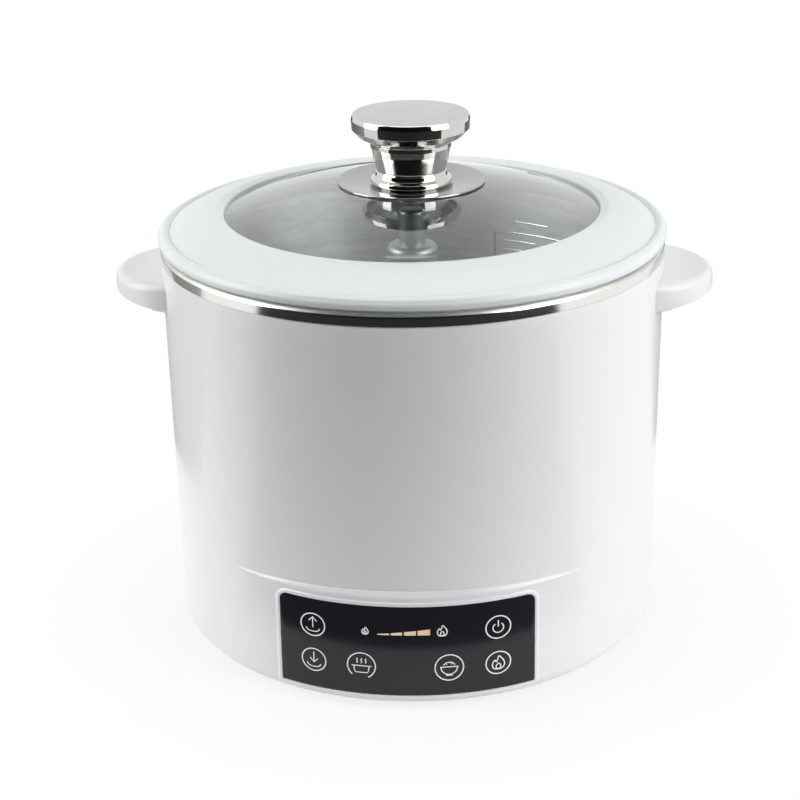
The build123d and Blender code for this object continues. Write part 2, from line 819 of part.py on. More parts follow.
bracket_top_z = motor_top_height + bracket_thickness
with BuildPart() as motor_bracket:
    disc(bracket_radius, motor_top_height, bracket_top_z)
    for angle in bracket_angles:
        leg_plane = Plane.XZ.rotated((0, 0, angle)).offset(-bracket_leg_width / 2)
        with BuildSketch(leg_plane):
            with BuildLine():
                Polyline(
                    (bracket_radius - 4, bracket_top_z),
                    (bracket_radius + bracket_thickness, bracket_top_z),
                    (bracket_radius + bracket_thickness, cover_top_z + bracket_thickness),
                    (bracket_foot_circle + bracket_foot_length / 2, cover_top_z + bracket_thickness),
                    (bracket_foot_circle + bracket_foot_length / 2, cover_top_z),
                    (bracket_radius, cover_top_z),
                    (bracket_radius, motor_top_height),
                    (bracket_radius - 4, motor_top_height),
                    close=True,
                )
            make_face()
        extrude(amount=bracket_leg_width)
    disc(coupler_radius + 1, motor_top_height, bracket_top_z, Mode.SUBTRACT)
    with BuildSketch(Plane.XY.offset(cover_top_z)):
        with Locations(*bracket_places):
            Circle(screw_shank_radius)
    extrude(amount=bracket_thickness, mode=Mode.SUBTRACT)
    with BuildSketch(Plane.XY.offset(motor_top_height)):
        with PolarLocations(motor_can_radius, 2):
            Circle(screw_shank_radius)
    extrude(amount=bracket_thickness, mode=Mode.SUBTRACT)
save(motor_bracket, "motor_bracket")

with BuildPart() as motor_screws:
    with BuildSketch(Plane.XY.offset(bracket_top_z)):
        with PolarLocations(motor_can_radius, 2):
            Circle(screw_head_radius)
    extrude(amount=screw_head_height)
    with BuildSketch(Plane.XY.offset(bracket_top_z)):
        with PolarLocations(motor_can_radius, 2):
            Circle(screw_shank_radius)
    extrude(amount=-bracket_thickness - screw_length / 2 + 1)
    with BuildSketch(Plane.XY.offset(cover_top_z + bracket_thickness)):
        with Locations(*bracket_places):
            Circle(screw_head_radius)
    extrude(amount=screw_head_height)
    with BuildSketch(Plane.XY.offset(cover_top_z + bracket_thickness)):
        with Locations(*bracket_places):
            Circle(screw_shank_radius)
    extrude(amount=-bracket_thickness - 2)
save(motor_screws, "motor_screws")

# ------------------------------------------------------------------ power board
with BuildPart() as power_board:
    with BuildSketch(Plane.XY.offset(power_board_z)):
        with Locations((0, power_board_y)):
            Rectangle(power_board_width, power_board_depth)
        with Locations(*standoff_places):
            Circle(screw_shank_radius, mode=Mode.SUBTRACT)
    extrude(amount=board_thickness)
save(power_board, "power_board")

component_z = power_board_z + board_thickness
with BuildPart() as relay:
    with BuildSketch(Plane.XY.offset(component_z)):
        with Locations((relay_place[0], power_board_y + relay_place[1])):
            Rectangle(relay_size[0], relay_size[1])
    extrude(amount=relay_size[2])
    fillet(relay.edges().filter_by(Axis.Z), relay_round)
save(relay, "relay")

with BuildPart() as transformer:
    with BuildSketch(Plane.XY.offset(component_z)):
        with Locations((transformer_place[0], power_board_y + transformer_place[1])):
            Rectangle(transformer_base[0], transformer_base[1])
    extrude(amount=transformer_base[2])
    with BuildSketch(Plane.XY.offset(component_z + transformer_base[2])):
        with Locations((transformer_place[0], power_board_y + transformer_place[1])):
            Rectangle(transformer_core[0], transformer_core[1])
    extrude(amount=transformer_core[2])
save(transformer, "transformer")

with BuildPart() as capacitor:
    with BuildSketch(Plane.XY.offset(component_z)):
        with Locations((capacitor_place[0], power_board_y + capacitor_place[1])):
            Circle(capacitor_radius)
    extrude(amount=capacitor_height)
    fillet(capacitor.edges().group_by(Axis.Z)[-1], capacitor_round)
save(capacitor, "capacitor")

# ------------------------------------------------------------------ power inlet
# Flanged socket let into the rear wall, with three blades standing in its recess.
blades = [(-pin_spacing / 2, -pin_offset), (0, pin_offset), (pin_spacing / 2, -pin_offset)]
inlet_face = Plane.XZ.offset(-inlet_face_y)
socket_bottom_z = inlet_height - socket_height / 2
socket_top_z = inlet_height + socket_height / 2
with BuildPart() as inlet_pins:
    with BuildSketch(inlet_face.offset(pin_recess)):
        with Locations(*[(x, inlet_height + z) for x, z in blades]):
            Rectangle(pin_width, pin_height)
    extrude(amount=inlet_body_depth + pin_tail - pin_recess)
save(inlet_pins, "inlet_pins")

with BuildPart() as power_inlet:
    with BuildSketch(inlet_face):
        with Locations((0, inlet_height)):
            RectangleRounded(inlet_flange_width, inlet_flange_height, inlet_flange_corner)
    extrude(amount=inlet_proud + inlet_flange_drop)
    add(shell_body(), mode=Mode.SUBTRACT)
    with BuildSketch(inlet_face):
        with Locations((0, inlet_height)):
            Rectangle(inlet_body_width, inlet_body_height)
    extrude(amount=inlet_body_depth)
    with BuildSketch(inlet_face):
        with BuildLine():
            Polyline(
                (-socket_width / 2, socket_bottom_z),
                (socket_width / 2, socket_bottom_z),
                (socket_width / 2, socket_top_z - socket_chamfer),
                (socket_width / 2 - socket_chamfer, socket_top_z),
                (-socket_width / 2 + socket_chamfer, socket_top_z),
                (-socket_width / 2, socket_top_z - socket_chamfer),
                close=True,
            )
        make_face()
    extrude(amount=socket_depth, mode=Mode.SUBTRACT)
    add(inlet_pins.part, mode=Mode.SUBTRACT)
    with BuildSketch(inlet_face):
        with Locations(*inlet_screw_places):
            Circle(screw_head_radius)
    extrude(amount=screw_head_height, mode=Mode.SUBTRACT)
    with BuildSketch(inlet_face):
        with Locations(*inlet_screw_places):
            Circle(screw_shank_radius)
    extrude(amount=inlet_body_depth, mode=Mode.SUBTRACT)
save(power_inlet, "power_inlet")

with BuildPart() as inlet_screws:
    with BuildSketch(inlet_face):
        with Locations(*inlet_screw_places):
            Circle(screw_head_radius)
    extrude(amount=screw_head_height)
    with BuildSketch(inlet_face):
        with Locations(*inlet_screw_places):
            Circle(screw_shank_radius)
    extrude(amount=screw_length)
save(inlet_screws, "inlet_screws")

# ------------------------------------------------------------------ bottom cover and feet
cover_screw_places = boss_places + post_places
with BuildPart() as bottom_cover:
    disc(lip_radius - loose_fit, cover_bottom_z, cover_top_z)
    with BuildSketch(Plane.XY.offset(cover_top_z)):
        with Locations(*standoff_places):
            Circle(standoff_radius)
    extrude(amount=power_board_lift)
    with BuildSketch(Plane.XY.offset(cover_bottom_z)):
        with Locations(*foot_places):
            Circle(foot_radius)
    extrude(amount=foot_recess, mode=Mode.SUBTRACT)
    with BuildSketch(Plane.XY.offset(cover_bottom_z)):
        with Locations(*cover_screw_places):
            Circle(screw_head_radius)
    extrude(amount=screw_head_height, mode=Mode.SUBTRACT)
    with BuildSketch(Plane.XY.offset(cover_bottom_z)):
        with Locations(*cover_screw_places):
            Circle(screw_shank_radius)
        with Locations(*bracket_places):
            Circle(screw_shank_radius)
    extrude(amount=cover_thickness, mode=Mode.SUBTRACT)
    with BuildSketch(Plane.XY.offset(cover_top_z)):
        with Locations(*standoff_places):
            Circle(screw_shank_radius)
    extrude(amount=power_board_lift, mode=Mode.SUBTRACT)
    with BuildSketch(Plane.XY.offset(cover_bottom_z)):
        with PolarLocations(vent_circle, vent_count, start_angle=15):
            SlotOverall(vent_slot_length, vent_slot_width)
    extrude(amount=cover_thickness, mode=Mode.SUBTRACT)
save(bottom_cover, "bottom_cover")

with BuildPart() as feet:
    with BuildSketch(Plane.XY):
        with Locations(*foot_places):
            Circle(foot_radius)
    extrude(amount=cover_bottom_z + foot_recess)
    fillet(feet.edges().group_by(Axis.Z)[0], 0.8)
save(feet, "feet")

with BuildPart() as cover_screws:
    with BuildSketch(Plane.XY.offset(cover_bottom_z)):
        with Locations(*cover_screw_places):
            Circle(screw_head_radius)
    extrude(amount=screw_head_height)
    with BuildSketch(Plane.XY.offset(cover_bottom_z)):
        with Locations(*cover_screw_places):
            Circle(screw_shank_radius)
    extrude(amount=screw_length)
save(cover_screws, "cover_screws")

with BuildPart() as power_board_screws:
    with BuildSketch(Plane.XY.offset(component_z)):
        with Locations(*standoff_places):
            Circle(screw_head_radius)
    extrude(amount=screw_head_height)
    with BuildSketch(Plane.XY.offset(component_z)):
        with Locations(*standoff_places):
            Circle(screw_shank_radius)
    extrude(amount=-power_board_lift)
save(power_board_screws, "power_board_screws")

# ------------------------------------------------------------------ strainer basket
# Shallow perforated bowl hung from a tall central sleeve that drops over the column. Its
# slotted floor disc is seam-welded into the dished wall.
with BuildPart() as basket_bowl:
    turned(
        (floor_disc_radius, basket_floor_z, 0),
        (basket_radius, basket_floor_z, basket_corner),
        (basket_radius, basket_rim_z, 0),
        (basket_radius - basket_wall, basket_rim_z, 0),
        (basket_radius - basket_wall, basket_floor_z + basket_wall, basket_corner - basket_wall),
        (floor_disc_radius, basket_floor_z + basket_wall, 0),
    )
    half_turn = [Plane.XZ.rotated((0, 0, 360 * i / wall_slot_count)) for i in range(wall_slot_count // 2)]
    with BuildSketch(*half_turn):
        with Locations((0, basket_floor_z + basket_corner + 6 + wall_slot_length / 2)):
            SlotOverall(wall_slot_length, wall_slot_width, rotation=90)
    extrude(amount=basket_radius + 1, both=True, mode=Mode.SUBTRACT)
save(basket_bowl, "basket_bowl")

with BuildPart() as basket_floor:
    with BuildSketch(Plane.XY.offset(basket_floor_z)):
        Circle(floor_disc_radius)
        Circle(sleeve_outer, mode=Mode.SUBTRACT)
        for slot_circle, slot_count in zip(floor_slot_circles, floor_slot_counts):
            with PolarLocations(slot_circle, slot_count):
                SlotOverall(floor_slot_length, floor_slot_width, mode=Mode.SUBTRACT)
    extrude(amount=basket_wall)
save(basket_floor, "basket_floor")

with BuildPart() as basket_rim:
    turned(
        (basket_radius, basket_rim_z - 2 * basket_rim_radius, 0),
        (basket_radius + 1.5 * basket_rim_radius, basket_rim_z - 2 * basket_rim_radius, 1.0),
        (basket_radius + 1.5 * basket_rim_radius, basket_rim_z + basket_wall, 1.4),
        (basket_radius - basket_wall, basket_rim_z + basket_wall, 0.5),
        (basket_radius - basket_wall, basket_rim_z, 0),
        (basket_radius, basket_rim_z, 0),
    )
save(basket_rim, "basket_rim")

with BuildPart() as basket_sleeve:
    turned(
        (sleeve_bore, basket_floor_z, 0),
        (sleeve_outer, basket_floor_z, 0),
        (sleeve_outer, basket_floor_z + basket_wall, 0),
        (sleeve_flange_radius, basket_floor_z + basket_wall, 0),
        (sleeve_flange_radius, basket_floor_z + 2 * basket_wall, 0.4),
        (sleeve_outer, basket_floor_z + 2 * basket_wall, 1.0),
        (sleeve_outer, sleeve_top_z, sleeve_top_round),
        (0, sleeve_top_z, 0),
        (0, cap_top_z, 0),
        (sleeve_bore, cap_top_z, 0),
    )
save(basket_sleeve, "basket_sleeve")

with BuildPart() as basket_stem:
    turned(
        (0, sleeve_top_z, 0),
        (stem_radius, sleeve_top_z, 0),
        (stem_radius, sleeve_top_z + stem_height, 2.0),
        (0, sleeve_top_z + stem_height, 0),
    )
save(basket_stem, "basket_stem")

# ------------------------------------------------------------------ lid
sphere_centre_z = lid_top_height - glass_sphere_radius
glass_inner_sphere = glass_sphere_radius - glass_thickness


def dome(radius, sphere):
    """Height of one of the glass dome's two concentric spheres at a radius."""
    return sphere_centre_z + sqrt(sphere**2 - radius**2)


glass_stations = (
    glass_hole_radius,
    (glass_hole_radius + glass_edge_radius) / 2,
    glass_edge_radius,
)
with BuildPart() as lid_glass:
    with BuildSketch(Plane.XZ):
        with BuildLine():
            upper = ThreePointArc(*[(r, dome(r, glass_sphere_radius)) for r in glass_stations])
            lower = ThreePointArc(*[(r, dome(r, glass_inner_sphere)) for r in glass_stations])
            Line(upper @ 0, lower @ 0)
            Line(upper @ 1, lower @ 1)
        make_face()
    revolve(axis=Axis.Z)
save(lid_glass, "lid_glass")

seat_z = rim_top_z
window_z = dome(lid_window_radius, glass_sphere_radius)
crest = (lid_window_radius + ring_crest_in, window_z + ring_crest_rise)
shoulder = (lid_radius - ring_lip_width - ring_groove_half, seat_z + ring_groove_rise + ring_groove_depth)
grip_radius = glass_edge_radius - ring_grip
skirt_outer = pot_radius - skirt_gap


def on_band(share):
    """Point on the ring's bulging top, between its crest and the groove's shoulder."""
    x = crest[0] + share * (shoulder[0] - crest[0])
    return x, crest[1] + share * (shoulder[1] - crest[1]) + ring_band_bulge


with BuildPart() as lid_ring:
    turned(
        (lid_window_radius, window_z + ring_lip_rise, 0.8),
        (*crest, 4.0),
        (*on_band(0.36), 25.0),
        (*on_band(0.71), 25.0),
        (*shoulder, 1.0),
        (lid_radius - ring_lip_width, seat_z + ring_groove_rise, 0.3),
        (lid_radius - ring_lip_width + 2 * ring_groove_half, shoulder[1], 0.5),
        (lid_radius - ring_lip_width / 1.8, seat_z + ring_outer_lip_rise, 1.6),
        (lid_radius - ring_lip_width / 5.5, seat_z + ring_outer_lip_rise - 1.5, 2.0),
        (lid_radius, seat_z + ring_edge_rise, 1.0),
        (lid_radius, seat_z + ring_ledge_rise, 0.2),
        (lid_radius - ring_ledge, seat_z + ring_ledge_rise - 0.3, 0.2),
        (lid_radius - 3.2 * ring_ledge, seat_z + 1.1, 1.0),
        (lid_radius - 6.2 * ring_ledge, seat_z, 0.4),
        (skirt_outer, seat_z, 0),
        (skirt_outer, seat_z - skirt_depth, 1.0),
        (skirt_outer - skirt_width, seat_z - skirt_depth, 1.0),
        (skirt_outer - skirt_width - 0.6, seat_z + 1.3, 1.5),
        (glass_edge_radius + 0.8, dome(glass_edge_radius, glass_inner_sphere) - ring_under_lip - 0.6, 1.0),
        (grip_radius, dome(grip_radius, glass_inner_sphere) - ring_under_lip, 0.6),
        (grip_radius, dome(grip_radius, glass_inner_sphere) + glass_thickness / 2, 0),
        (lid_window_radius, window_z - glass_thickness / 2, 0),
    )
    add(lid_glass.part, mode=Mode.SUBTRACT)
save(lid_ring, "lid_ring")

# ------------------------------------------------------------------ knob and its fixings
with BuildPart() as upper_gasket:
    ring(lid_screw_radius, gasket_radius, lid_top_height - gasket_grip, dish_bottom_z)
    add(lid_glass.part, mode=Mode.SUBTRACT)
save(upper_gasket, "upper_gasket")

with BuildPart() as knob_dish:
    turned(
        (lid_screw_radius, dish_bottom_z, 0),
        (dish_flat_radius, dish_bottom_z, 4.0),
        (dish_radius, dish_bottom_z + dish_rise, 0.3),
        (dish_radius, dish_bottom_z + dish_rise + dish_thickness, 0.3),
        (dish_flat_radius, knob_bottom_z, 4.0),
        (lid_screw_radius, knob_bottom_z, 0),
    )
save(knob_dish, "knob_dish")

with BuildPart() as knob_neck:
    turned(
        (0, knob_bottom_z, 0),
        (knob_base_radius - 0.8, knob_bottom_z, 0.3),
        (knob_base_radius, knob_bottom_z + 1.4, 0.6),
        (knob_base_radius, knob_bottom_z + 3.2, 0.8),
        (knob_groove_radius, knob_bottom_z + 5.0, 0.6),
        (knob_groove_radius, knob_bottom_z + 7.0, 0.8),
        (knob_neck_top_radius, knob_cap_z, 0),
        (0, knob_cap_z, 0),
    )
    turned(
        (0, knob_bottom_z + knob_wall, 0),
        (knob_groove_radius - knob_wall, knob_bottom_z + knob_wall, 0),
        (knob_neck_top_radius - knob_wall, knob_cap_z, 0),
        (0, knob_cap_z, 0),
        mode=Mode.SUBTRACT,
    )
    disc(knob_boss_radius, knob_bottom_z, knob_bottom_z + knob_neck_height / 2)
    disc(lid_screw_radius, knob_bottom_z, knob_bottom_z + knob_neck_height / 2, Mode.SUBTRACT)
save(knob_neck, "knob_neck")

with BuildPart() as knob_cap:
    turned(
        (0, knob_cap_z, 0),
        (knob_neck_top_radius + 1.6, knob_cap_z, 0.8),
        (knob_cap_radius - 3.6, knob_cap_z + 2.3, 5.0),
        (knob_cap_radius, knob_cap_z + 8.6, 5.0),
        (knob_cap_radius, knob_cap_z + 13.6, 5.0),
        (knob_top_radius, knob_cap_z + knob_cap_height, 1.0),
        (0, knob_cap_z + knob_cap_height, 0),
    )
    turned(
        (0, knob_cap_z, 0),
        (knob_neck_top_radius - knob_wall, knob_cap_z, 0),
        (knob_neck_top_radius - knob_wall, knob_cap_z + knob_wall, 0),
        (knob_cap_radius - knob_wall - 2.4, knob_cap_z + 8.6, 4.0),
        (knob_top_radius - knob_wall - 1.5, knob_cap_z + knob_cap_height - knob_wall, 2.0),
        (0, knob_cap_z + knob_cap_height - knob_wall, 0),
        mode=Mode.SUBTRACT,
    )
save(knob_cap, "knob_cap")

lower_gasket_z = glass_bottom_z - lid_lower_gasket_thickness
washer_z = lower_gasket_z - lid_washer_thickness
with BuildPart() as lower_gasket:
    ring(lid_screw_radius, lid_washer_radius + 1, lower_gasket_z, glass_bottom_z)
    add(lid_glass.part, mode=Mode.SUBTRACT)
save(lower_gasket, "lower_gasket")

with BuildPart() as lid_washer:
    ring(lid_screw_radius, lid_washer_radius, washer_z, lower_gasket_z)
save(lid_washer, "lid_washer")

with BuildPart() as lid_screw:
    turned(
        (0, washer_z - lid_screw_head_height, 0),
        (lid_screw_head_radius, washer_z - lid_screw_head_height, 1.5),
        (lid_screw_head_radius, washer_z, 0),
        (lid_screw_radius, washer_z, 0),
        (lid_screw_radius, knob_bottom_z + knob_neck_height / 2 - 1, 0),
        (0, knob_bottom_z + knob_neck_height / 2 - 1, 0),
    )
save(lid_screw, "lid_screw")
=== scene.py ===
import bmesh
import bpy
import numpy as np
from mathutils import Matrix


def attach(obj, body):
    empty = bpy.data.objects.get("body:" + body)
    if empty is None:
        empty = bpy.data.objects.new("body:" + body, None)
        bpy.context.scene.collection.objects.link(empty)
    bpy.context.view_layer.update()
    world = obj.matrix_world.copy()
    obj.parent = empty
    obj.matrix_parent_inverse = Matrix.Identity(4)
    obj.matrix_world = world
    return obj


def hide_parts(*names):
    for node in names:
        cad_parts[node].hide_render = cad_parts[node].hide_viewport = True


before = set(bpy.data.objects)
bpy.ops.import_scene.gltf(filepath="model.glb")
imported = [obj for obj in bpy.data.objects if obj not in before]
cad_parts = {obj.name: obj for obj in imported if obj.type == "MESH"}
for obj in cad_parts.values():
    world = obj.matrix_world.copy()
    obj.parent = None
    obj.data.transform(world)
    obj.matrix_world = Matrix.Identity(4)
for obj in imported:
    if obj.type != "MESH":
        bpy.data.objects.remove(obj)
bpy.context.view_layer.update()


# ------------------------------------------------------------ bottom cover, feet and their screws
# Grey moulded cover let into the shell's lower lip, held by nine steel screws, with four
# black rubber feet pressed into shallow recesses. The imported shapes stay, with new finishes.
class Tap:
    """A value in a finish's node tree. Operators on it add Math nodes."""

    def __init__(self, tree, socket):
        self.tree = tree
        self.socket = socket

    def node(self, kind, inputs, out=0, **settings):
        """Add any other node: its settings first, then a value or a Tap for each input."""
        made = self.tree.nodes.new(kind)
        for name, value in settings.items():
            setattr(made, name, value)
        plug(self.tree, made, inputs)
        return Tap(self.tree, made.outputs[out])

    def __add__(self, other):
        return self.node("ShaderNodeMath", {0: self, 1: other}, operation="ADD")

    def __sub__(self, other):
        return self.node("ShaderNodeMath", {0: self, 1: other}, operation="SUBTRACT")

    def __rsub__(self, other):
        return self.node("ShaderNodeMath", {0: other, 1: self}, operation="SUBTRACT")

    def __mul__(self, other):
        return self.node("ShaderNodeMath", {0: self, 1: other}, operation="MULTIPLY")

    def __pow__(self, other):
        return self.node("ShaderNodeMath", {0: self, 1: other}, operation="POWER")

    __radd__ = __add__
    __rmul__ = __mul__


def plug(tree, node, inputs):
    """Set or link a node's inputs, given by name or number."""
    for name, value in inputs.items():
        if isinstance(value, Tap):
            tree.links.new(value.socket, node.inputs[name])
        else:
            node.inputs[name].default_value = value


def new_finish(name):
    """New material: itself, its Principled shader, and the Tap of its place on the piece."""
    material = bpy.data.materials.new(name)
    material.use_nodes = True
    tree = material.node_tree
    place = tree.nodes.new("ShaderNodeTexCoord").outputs["Object"]
    return material, tree.nodes["Principled BSDF"], Tap(tree, place)


def speckle(place, scale, stretch=(1, 1, 1), detail=2.0):
    """Noise from 0 to 1; scale is in lumps per metre, and stretch multiplies it per axis."""
    placed = place.node("ShaderNodeMapping", {"Vector": place, "Scale": stretch})
    return place.node("ShaderNodeTexNoise", {"Vector": placed, "Scale": scale, "Detail": detail})


def two_tone(share, low, high):
    """Colour between two tones, by a share from 0 to 1."""
    tones = {0: share, 6: (*low, 1), 7: (*high, 1)}
    return share.node("ShaderNodeMix", tones, out=2, data_type="RGBA")


def relief(height, distance, strength=1.0):
    """Normal of a surface with a fine relief of that height in metres."""
    inputs = {"Height": height, "Distance": distance, "Strength": strength}
    return height.node("ShaderNodeBump", inputs)


def worked_finish(name, low, high, rough, spread, scale, stretch=(1, 1, 1), depth=0.0, **fixed):
    """Finish whose tone runs from low to high and whose roughness runs over spread, by one
    noise, with a relief of that depth from a finer one. fixed sets other plain inputs."""
    material, shader, place = new_finish(name)
    share = speckle(place, scale, stretch)
    inputs = {"Base Color": two_tone(share, low, high), "Roughness": rough + share * spread}
    if depth:
        inputs["Normal"] = relief(speckle(place, scale * 4, stretch), depth)
    inputs.update({words.replace("_", " "): value for words, value in fixed.items()})
    plug(material.node_tree, shader, inputs)
    return material


def dress(material, *names):
    """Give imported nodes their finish."""
    for name in names:
        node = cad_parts[name]
        node.data.materials.clear()
        node.data.materials.append(material)


cover_grey = worked_finish(
    "cover_grey", (0.30, 0.30, 0.31), (0.36, 0.36, 0.37), 0.5, 0.2, 900.0, depth=0.00004
)
foot_rubber = worked_finish(
    "foot_rubber", (0.014, 0.014, 0.015), (0.03, 0.03, 0.03), 0.75, 0.2, 700.0, depth=0.00005
)
screw_steel = worked_finish(
    "screw_steel", (0.50, 0.49, 0.47), (0.64, 0.63, 0.61), 0.28, 0.2, 1500.0, Metallic=1.0
)
dress(cover_grey, "bottom_cover")
dress(foot_rubber, "feet")
dress(
    screw_steel,
    "cover_screws", "board_screws", "motor_screws", "power_board_screws", "handle_screws",
)


# ------------------------------------------------------------ outer shell
# One white polypropylene moulding: a drum that flares upwards, with the control pod standing
# out of its lower front. Moulded in one, so the pod's sides run softly into the drum.
corner_steps = 8


def rounded(corners, steps=corner_steps):
    """Outline through (across, up, radius) corners. Each corner becomes an arc between the
    points radius / tan(half its angle) away from it, about a centre on its bisector."""
    corners = np.array(corners, float)
    spot, radius = corners[:, :2], corners[:, 2:]
    back = np.roll(spot, 1, axis=0) - spot
    ahead = np.roll(spot, -1, axis=0) - spot
    back /= np.linalg.norm(back, axis=1, keepdims=True)
    ahead /= np.linalg.norm(ahead, axis=1, keepdims=True)
    half = np.arccos(np.clip((back * ahead).sum(axis=1, keepdims=True), -1, 1)) / 2
    bisector = (back + ahead) / np.linalg.norm(back + ahead, axis=1, keepdims=True)
    centre = spot + bisector * radius / np.sin(half)
    first = spot + back * radius / np.tan(half) - centre
    last = spot + ahead * radius / np.tan(half) - centre
    sweep = (np.pi - 2 * half)[:, None]
    share = np.linspace(0, 1, steps + 1)[None, :, None]
    arc = np.sin((1 - share) * sweep) * first[:, None] + np.sin(share * sweep) * last[:, None]
    return (centre[:, None] + arc / np.sin(sweep)).reshape(-1, 2)


def grid_quads(rows, columns, ring_rows=False, ring_columns=False):
    """Corner numbers of a grid's quads. A ring closes on itself that way."""
    row = np.arange(rows if ring_rows else rows - 1)[:, None]
    column = np.arange(columns if ring_columns else columns - 1)[None, :]
    below, beside = (row + 1) % rows, (column + 1) % columns
    corners = (
        row * columns + column,
        row * columns + beside,
        below * columns + beside,
        below * columns + column,
    )
    return np.stack(corners, axis=-1).reshape(-1, 4)


def outward(points, quads):
    """The quads, turned round if the volume they enclose comes out negative."""
    a, b, c, d = (points[quads[:, i]] for i in range(4))
    volume = (np.cross(a, b) * c).sum() + (np.cross(a, c) * d).sum()
    return quads if volume > 0 else quads[:, ::-1]


def piece(name, skins, material, smooth=35.0):
    """Mesh object from skins. Each is (points as rows x columns x 3 in millimetres, whether
    the rows close into a ring, whether the columns do). Edges sharper than smooth stay."""
    points, quads, first = [], [], 0
    for grid, ring_rows, ring_columns in skins:
        flat = grid.reshape(-1, 3)
        quads.append(outward(flat, grid_quads(*grid.shape[:2], ring_rows, ring_columns)) + first)
        points.append(flat)
        first += len(flat)
    points, quads = np.concatenate(points) / 1000, np.concatenate(quads)
    mesh = bpy.data.meshes.new(name)
    mesh.vertices.add(len(points))
    mesh.vertices.foreach_set("co", points.ravel())
    mesh.loops.add(quads.size)
    mesh.loops.foreach_set("vertex_index", quads.ravel())
    mesh.polygons.add(len(quads))
    mesh.polygons.foreach_set("loop_start", np.arange(0, quads.size, 4))
    mesh.update(calc_edges=True)
    cleaned = bmesh.new()
    cleaned.from_mesh(mesh)
    bmesh.ops.remove_doubles(cleaned, verts=cleaned.verts, dist=1e-6)
    bmesh.ops.dissolve_degenerate(cleaned, edges=cleaned.edges, dist=1e-6)
    cleaned.to_mesh(mesh)
    cleaned.free()
    mesh.polygons.foreach_set("use_smooth", np.ones(len(mesh.polygons), bool))
    mesh.set_sharp_from_angle(angle=np.radians(smooth))
    mesh.materials.append(material)
    made = bpy.data.objects.new(name, mesh)
    bpy.context.scene.collection.objects.link(made)
    return made


shell_columns = 720
shell_foot, shell_brim = (131.0, 3.0), (133.9, 206.8)  # radius and height of its two ends
brim_eased = (0.1, 0.7)  # how far its last two rows draw in
shell_wall = 2.6
shell_round = 6.0
shell_lip = 122.0
pod_radius, pod_ahead = 127.0, 6.9
ledge_low, ledge_high, ledge_round = 64.0, 67.2, 2.5
ledge_run = 2.3  # how far the ledge slopes back as it rises
pod_blend = 0.2
crease_depth, crease_fade, crease_from = 0.3, 0.4, 64.2
panel_x, panel_low, panel_high = 65.0, 9.0, 59.0
panel_corners = (1.0, 4.0)  # lower and upper radius
panel_edge_cover, panel_recess = 0.8, 1.4
inlet_z, inlet_x, inlet_rise = 36.0, 15.6, 12.6  # opening for the inlet: middle, half sizes
inlet_cut = 22.0


def around_pod(angle, radius):
    """Distance from the Z axis to a circle about the pod's own axis, at each angle: the far
    crossing of the ray with the circle."""
    along = -pod_ahead * np.sin(angle)
    return along + np.sqrt(radius**2 - pod_ahead**2 + along**2)


def joined(a, b, width):
    """Larger of two distances, with the change from one to the other softened over width."""
    return np.maximum(a, b) + width / 4 * np.maximum(0, 1 - np.abs(a - b) / width) ** 2


def inside_panel(x, z, grow):
    """Depth inside the panel's outline, grown by a margin; negative outside it."""
    far = panel_corners[1]
    across = np.abs(x) - panel_x - grow + far
    up = np.abs(z - (panel_low + panel_high) / 2) - (panel_high - panel_low) / 2 - grow + far
    return far - np.hypot(np.maximum(across, 0), np.maximum(up, 0))


turn = np.linspace(0, 2 * np.pi, shell_columns, endpoint=False)
bend = np.linspace(0, np.pi / 2, 9)
round_z = shell_foot[1] + shell_round * (1 - np.cos(bend))
round_r = shell_round * (np.sin(bend) - 1)
ledge_corners = [
    (pod_radius, 50.0, 0),
    (pod_radius, ledge_low, ledge_round),
    (pod_radius - ledge_run, ledge_high, 0),
    (pod_radius - 9.0, 50.0, 0),
]
# The second corner's arc and the point where the slope ends.
ledge = rounded(ledge_corners)[corner_steps + 1 : 2 * corner_steps + 3]
outer_z = np.unique(
    np.concatenate(
        [
            round_z, np.linspace(10, 62, 32), ledge[:, 1], np.linspace(64.6, 68.2, 25),
            np.linspace(69, 205.6, 12), [206.3, 206.8],
        ]
    )
)
taper = np.interp(outer_z, [shell_foot[1], shell_brim[1]], [shell_foot[0], shell_brim[0]])
taper = (taper + np.interp(outer_z, round_z, round_r))[:, None]
taper[-2:, 0] -= brim_eased
pod_line = np.interp(outer_z, round_z, pod_radius + round_r)
pod_line = np.minimum(pod_line, np.interp(outer_z, ledge[:, 1], ledge[:, 0], right=100.0))
pod_reach = around_pod(turn, pod_line[:, None])
# A soft crease runs where the ledge meets the drum, as far round as the pod stands out of it.
standing = np.clip(around_pod(turn, pod_radius) - taper - 0.05, 0, crease_fade) / crease_fade
crease = np.exp(-(((pod_reach - taper) / pod_blend) ** 2)) * (outer_z[:, None] > crease_from)
outside = joined(taper, pod_reach, pod_blend) - crease_depth * crease * standing
outer_z = outer_z[:, None] + 0 * turn
across, ahead = outside * np.cos(turn), outside * np.sin(turn)
behind_panel = (ahead < 0) & (inside_panel(across, outer_z, -panel_edge_cover) > 0)
at_inlet = (ahead > 0) & (np.abs(across) < inlet_x) & (np.abs(outer_z - inlet_z) < inlet_rise)
outside = outside - panel_recess * behind_panel - inlet_cut * at_inlet

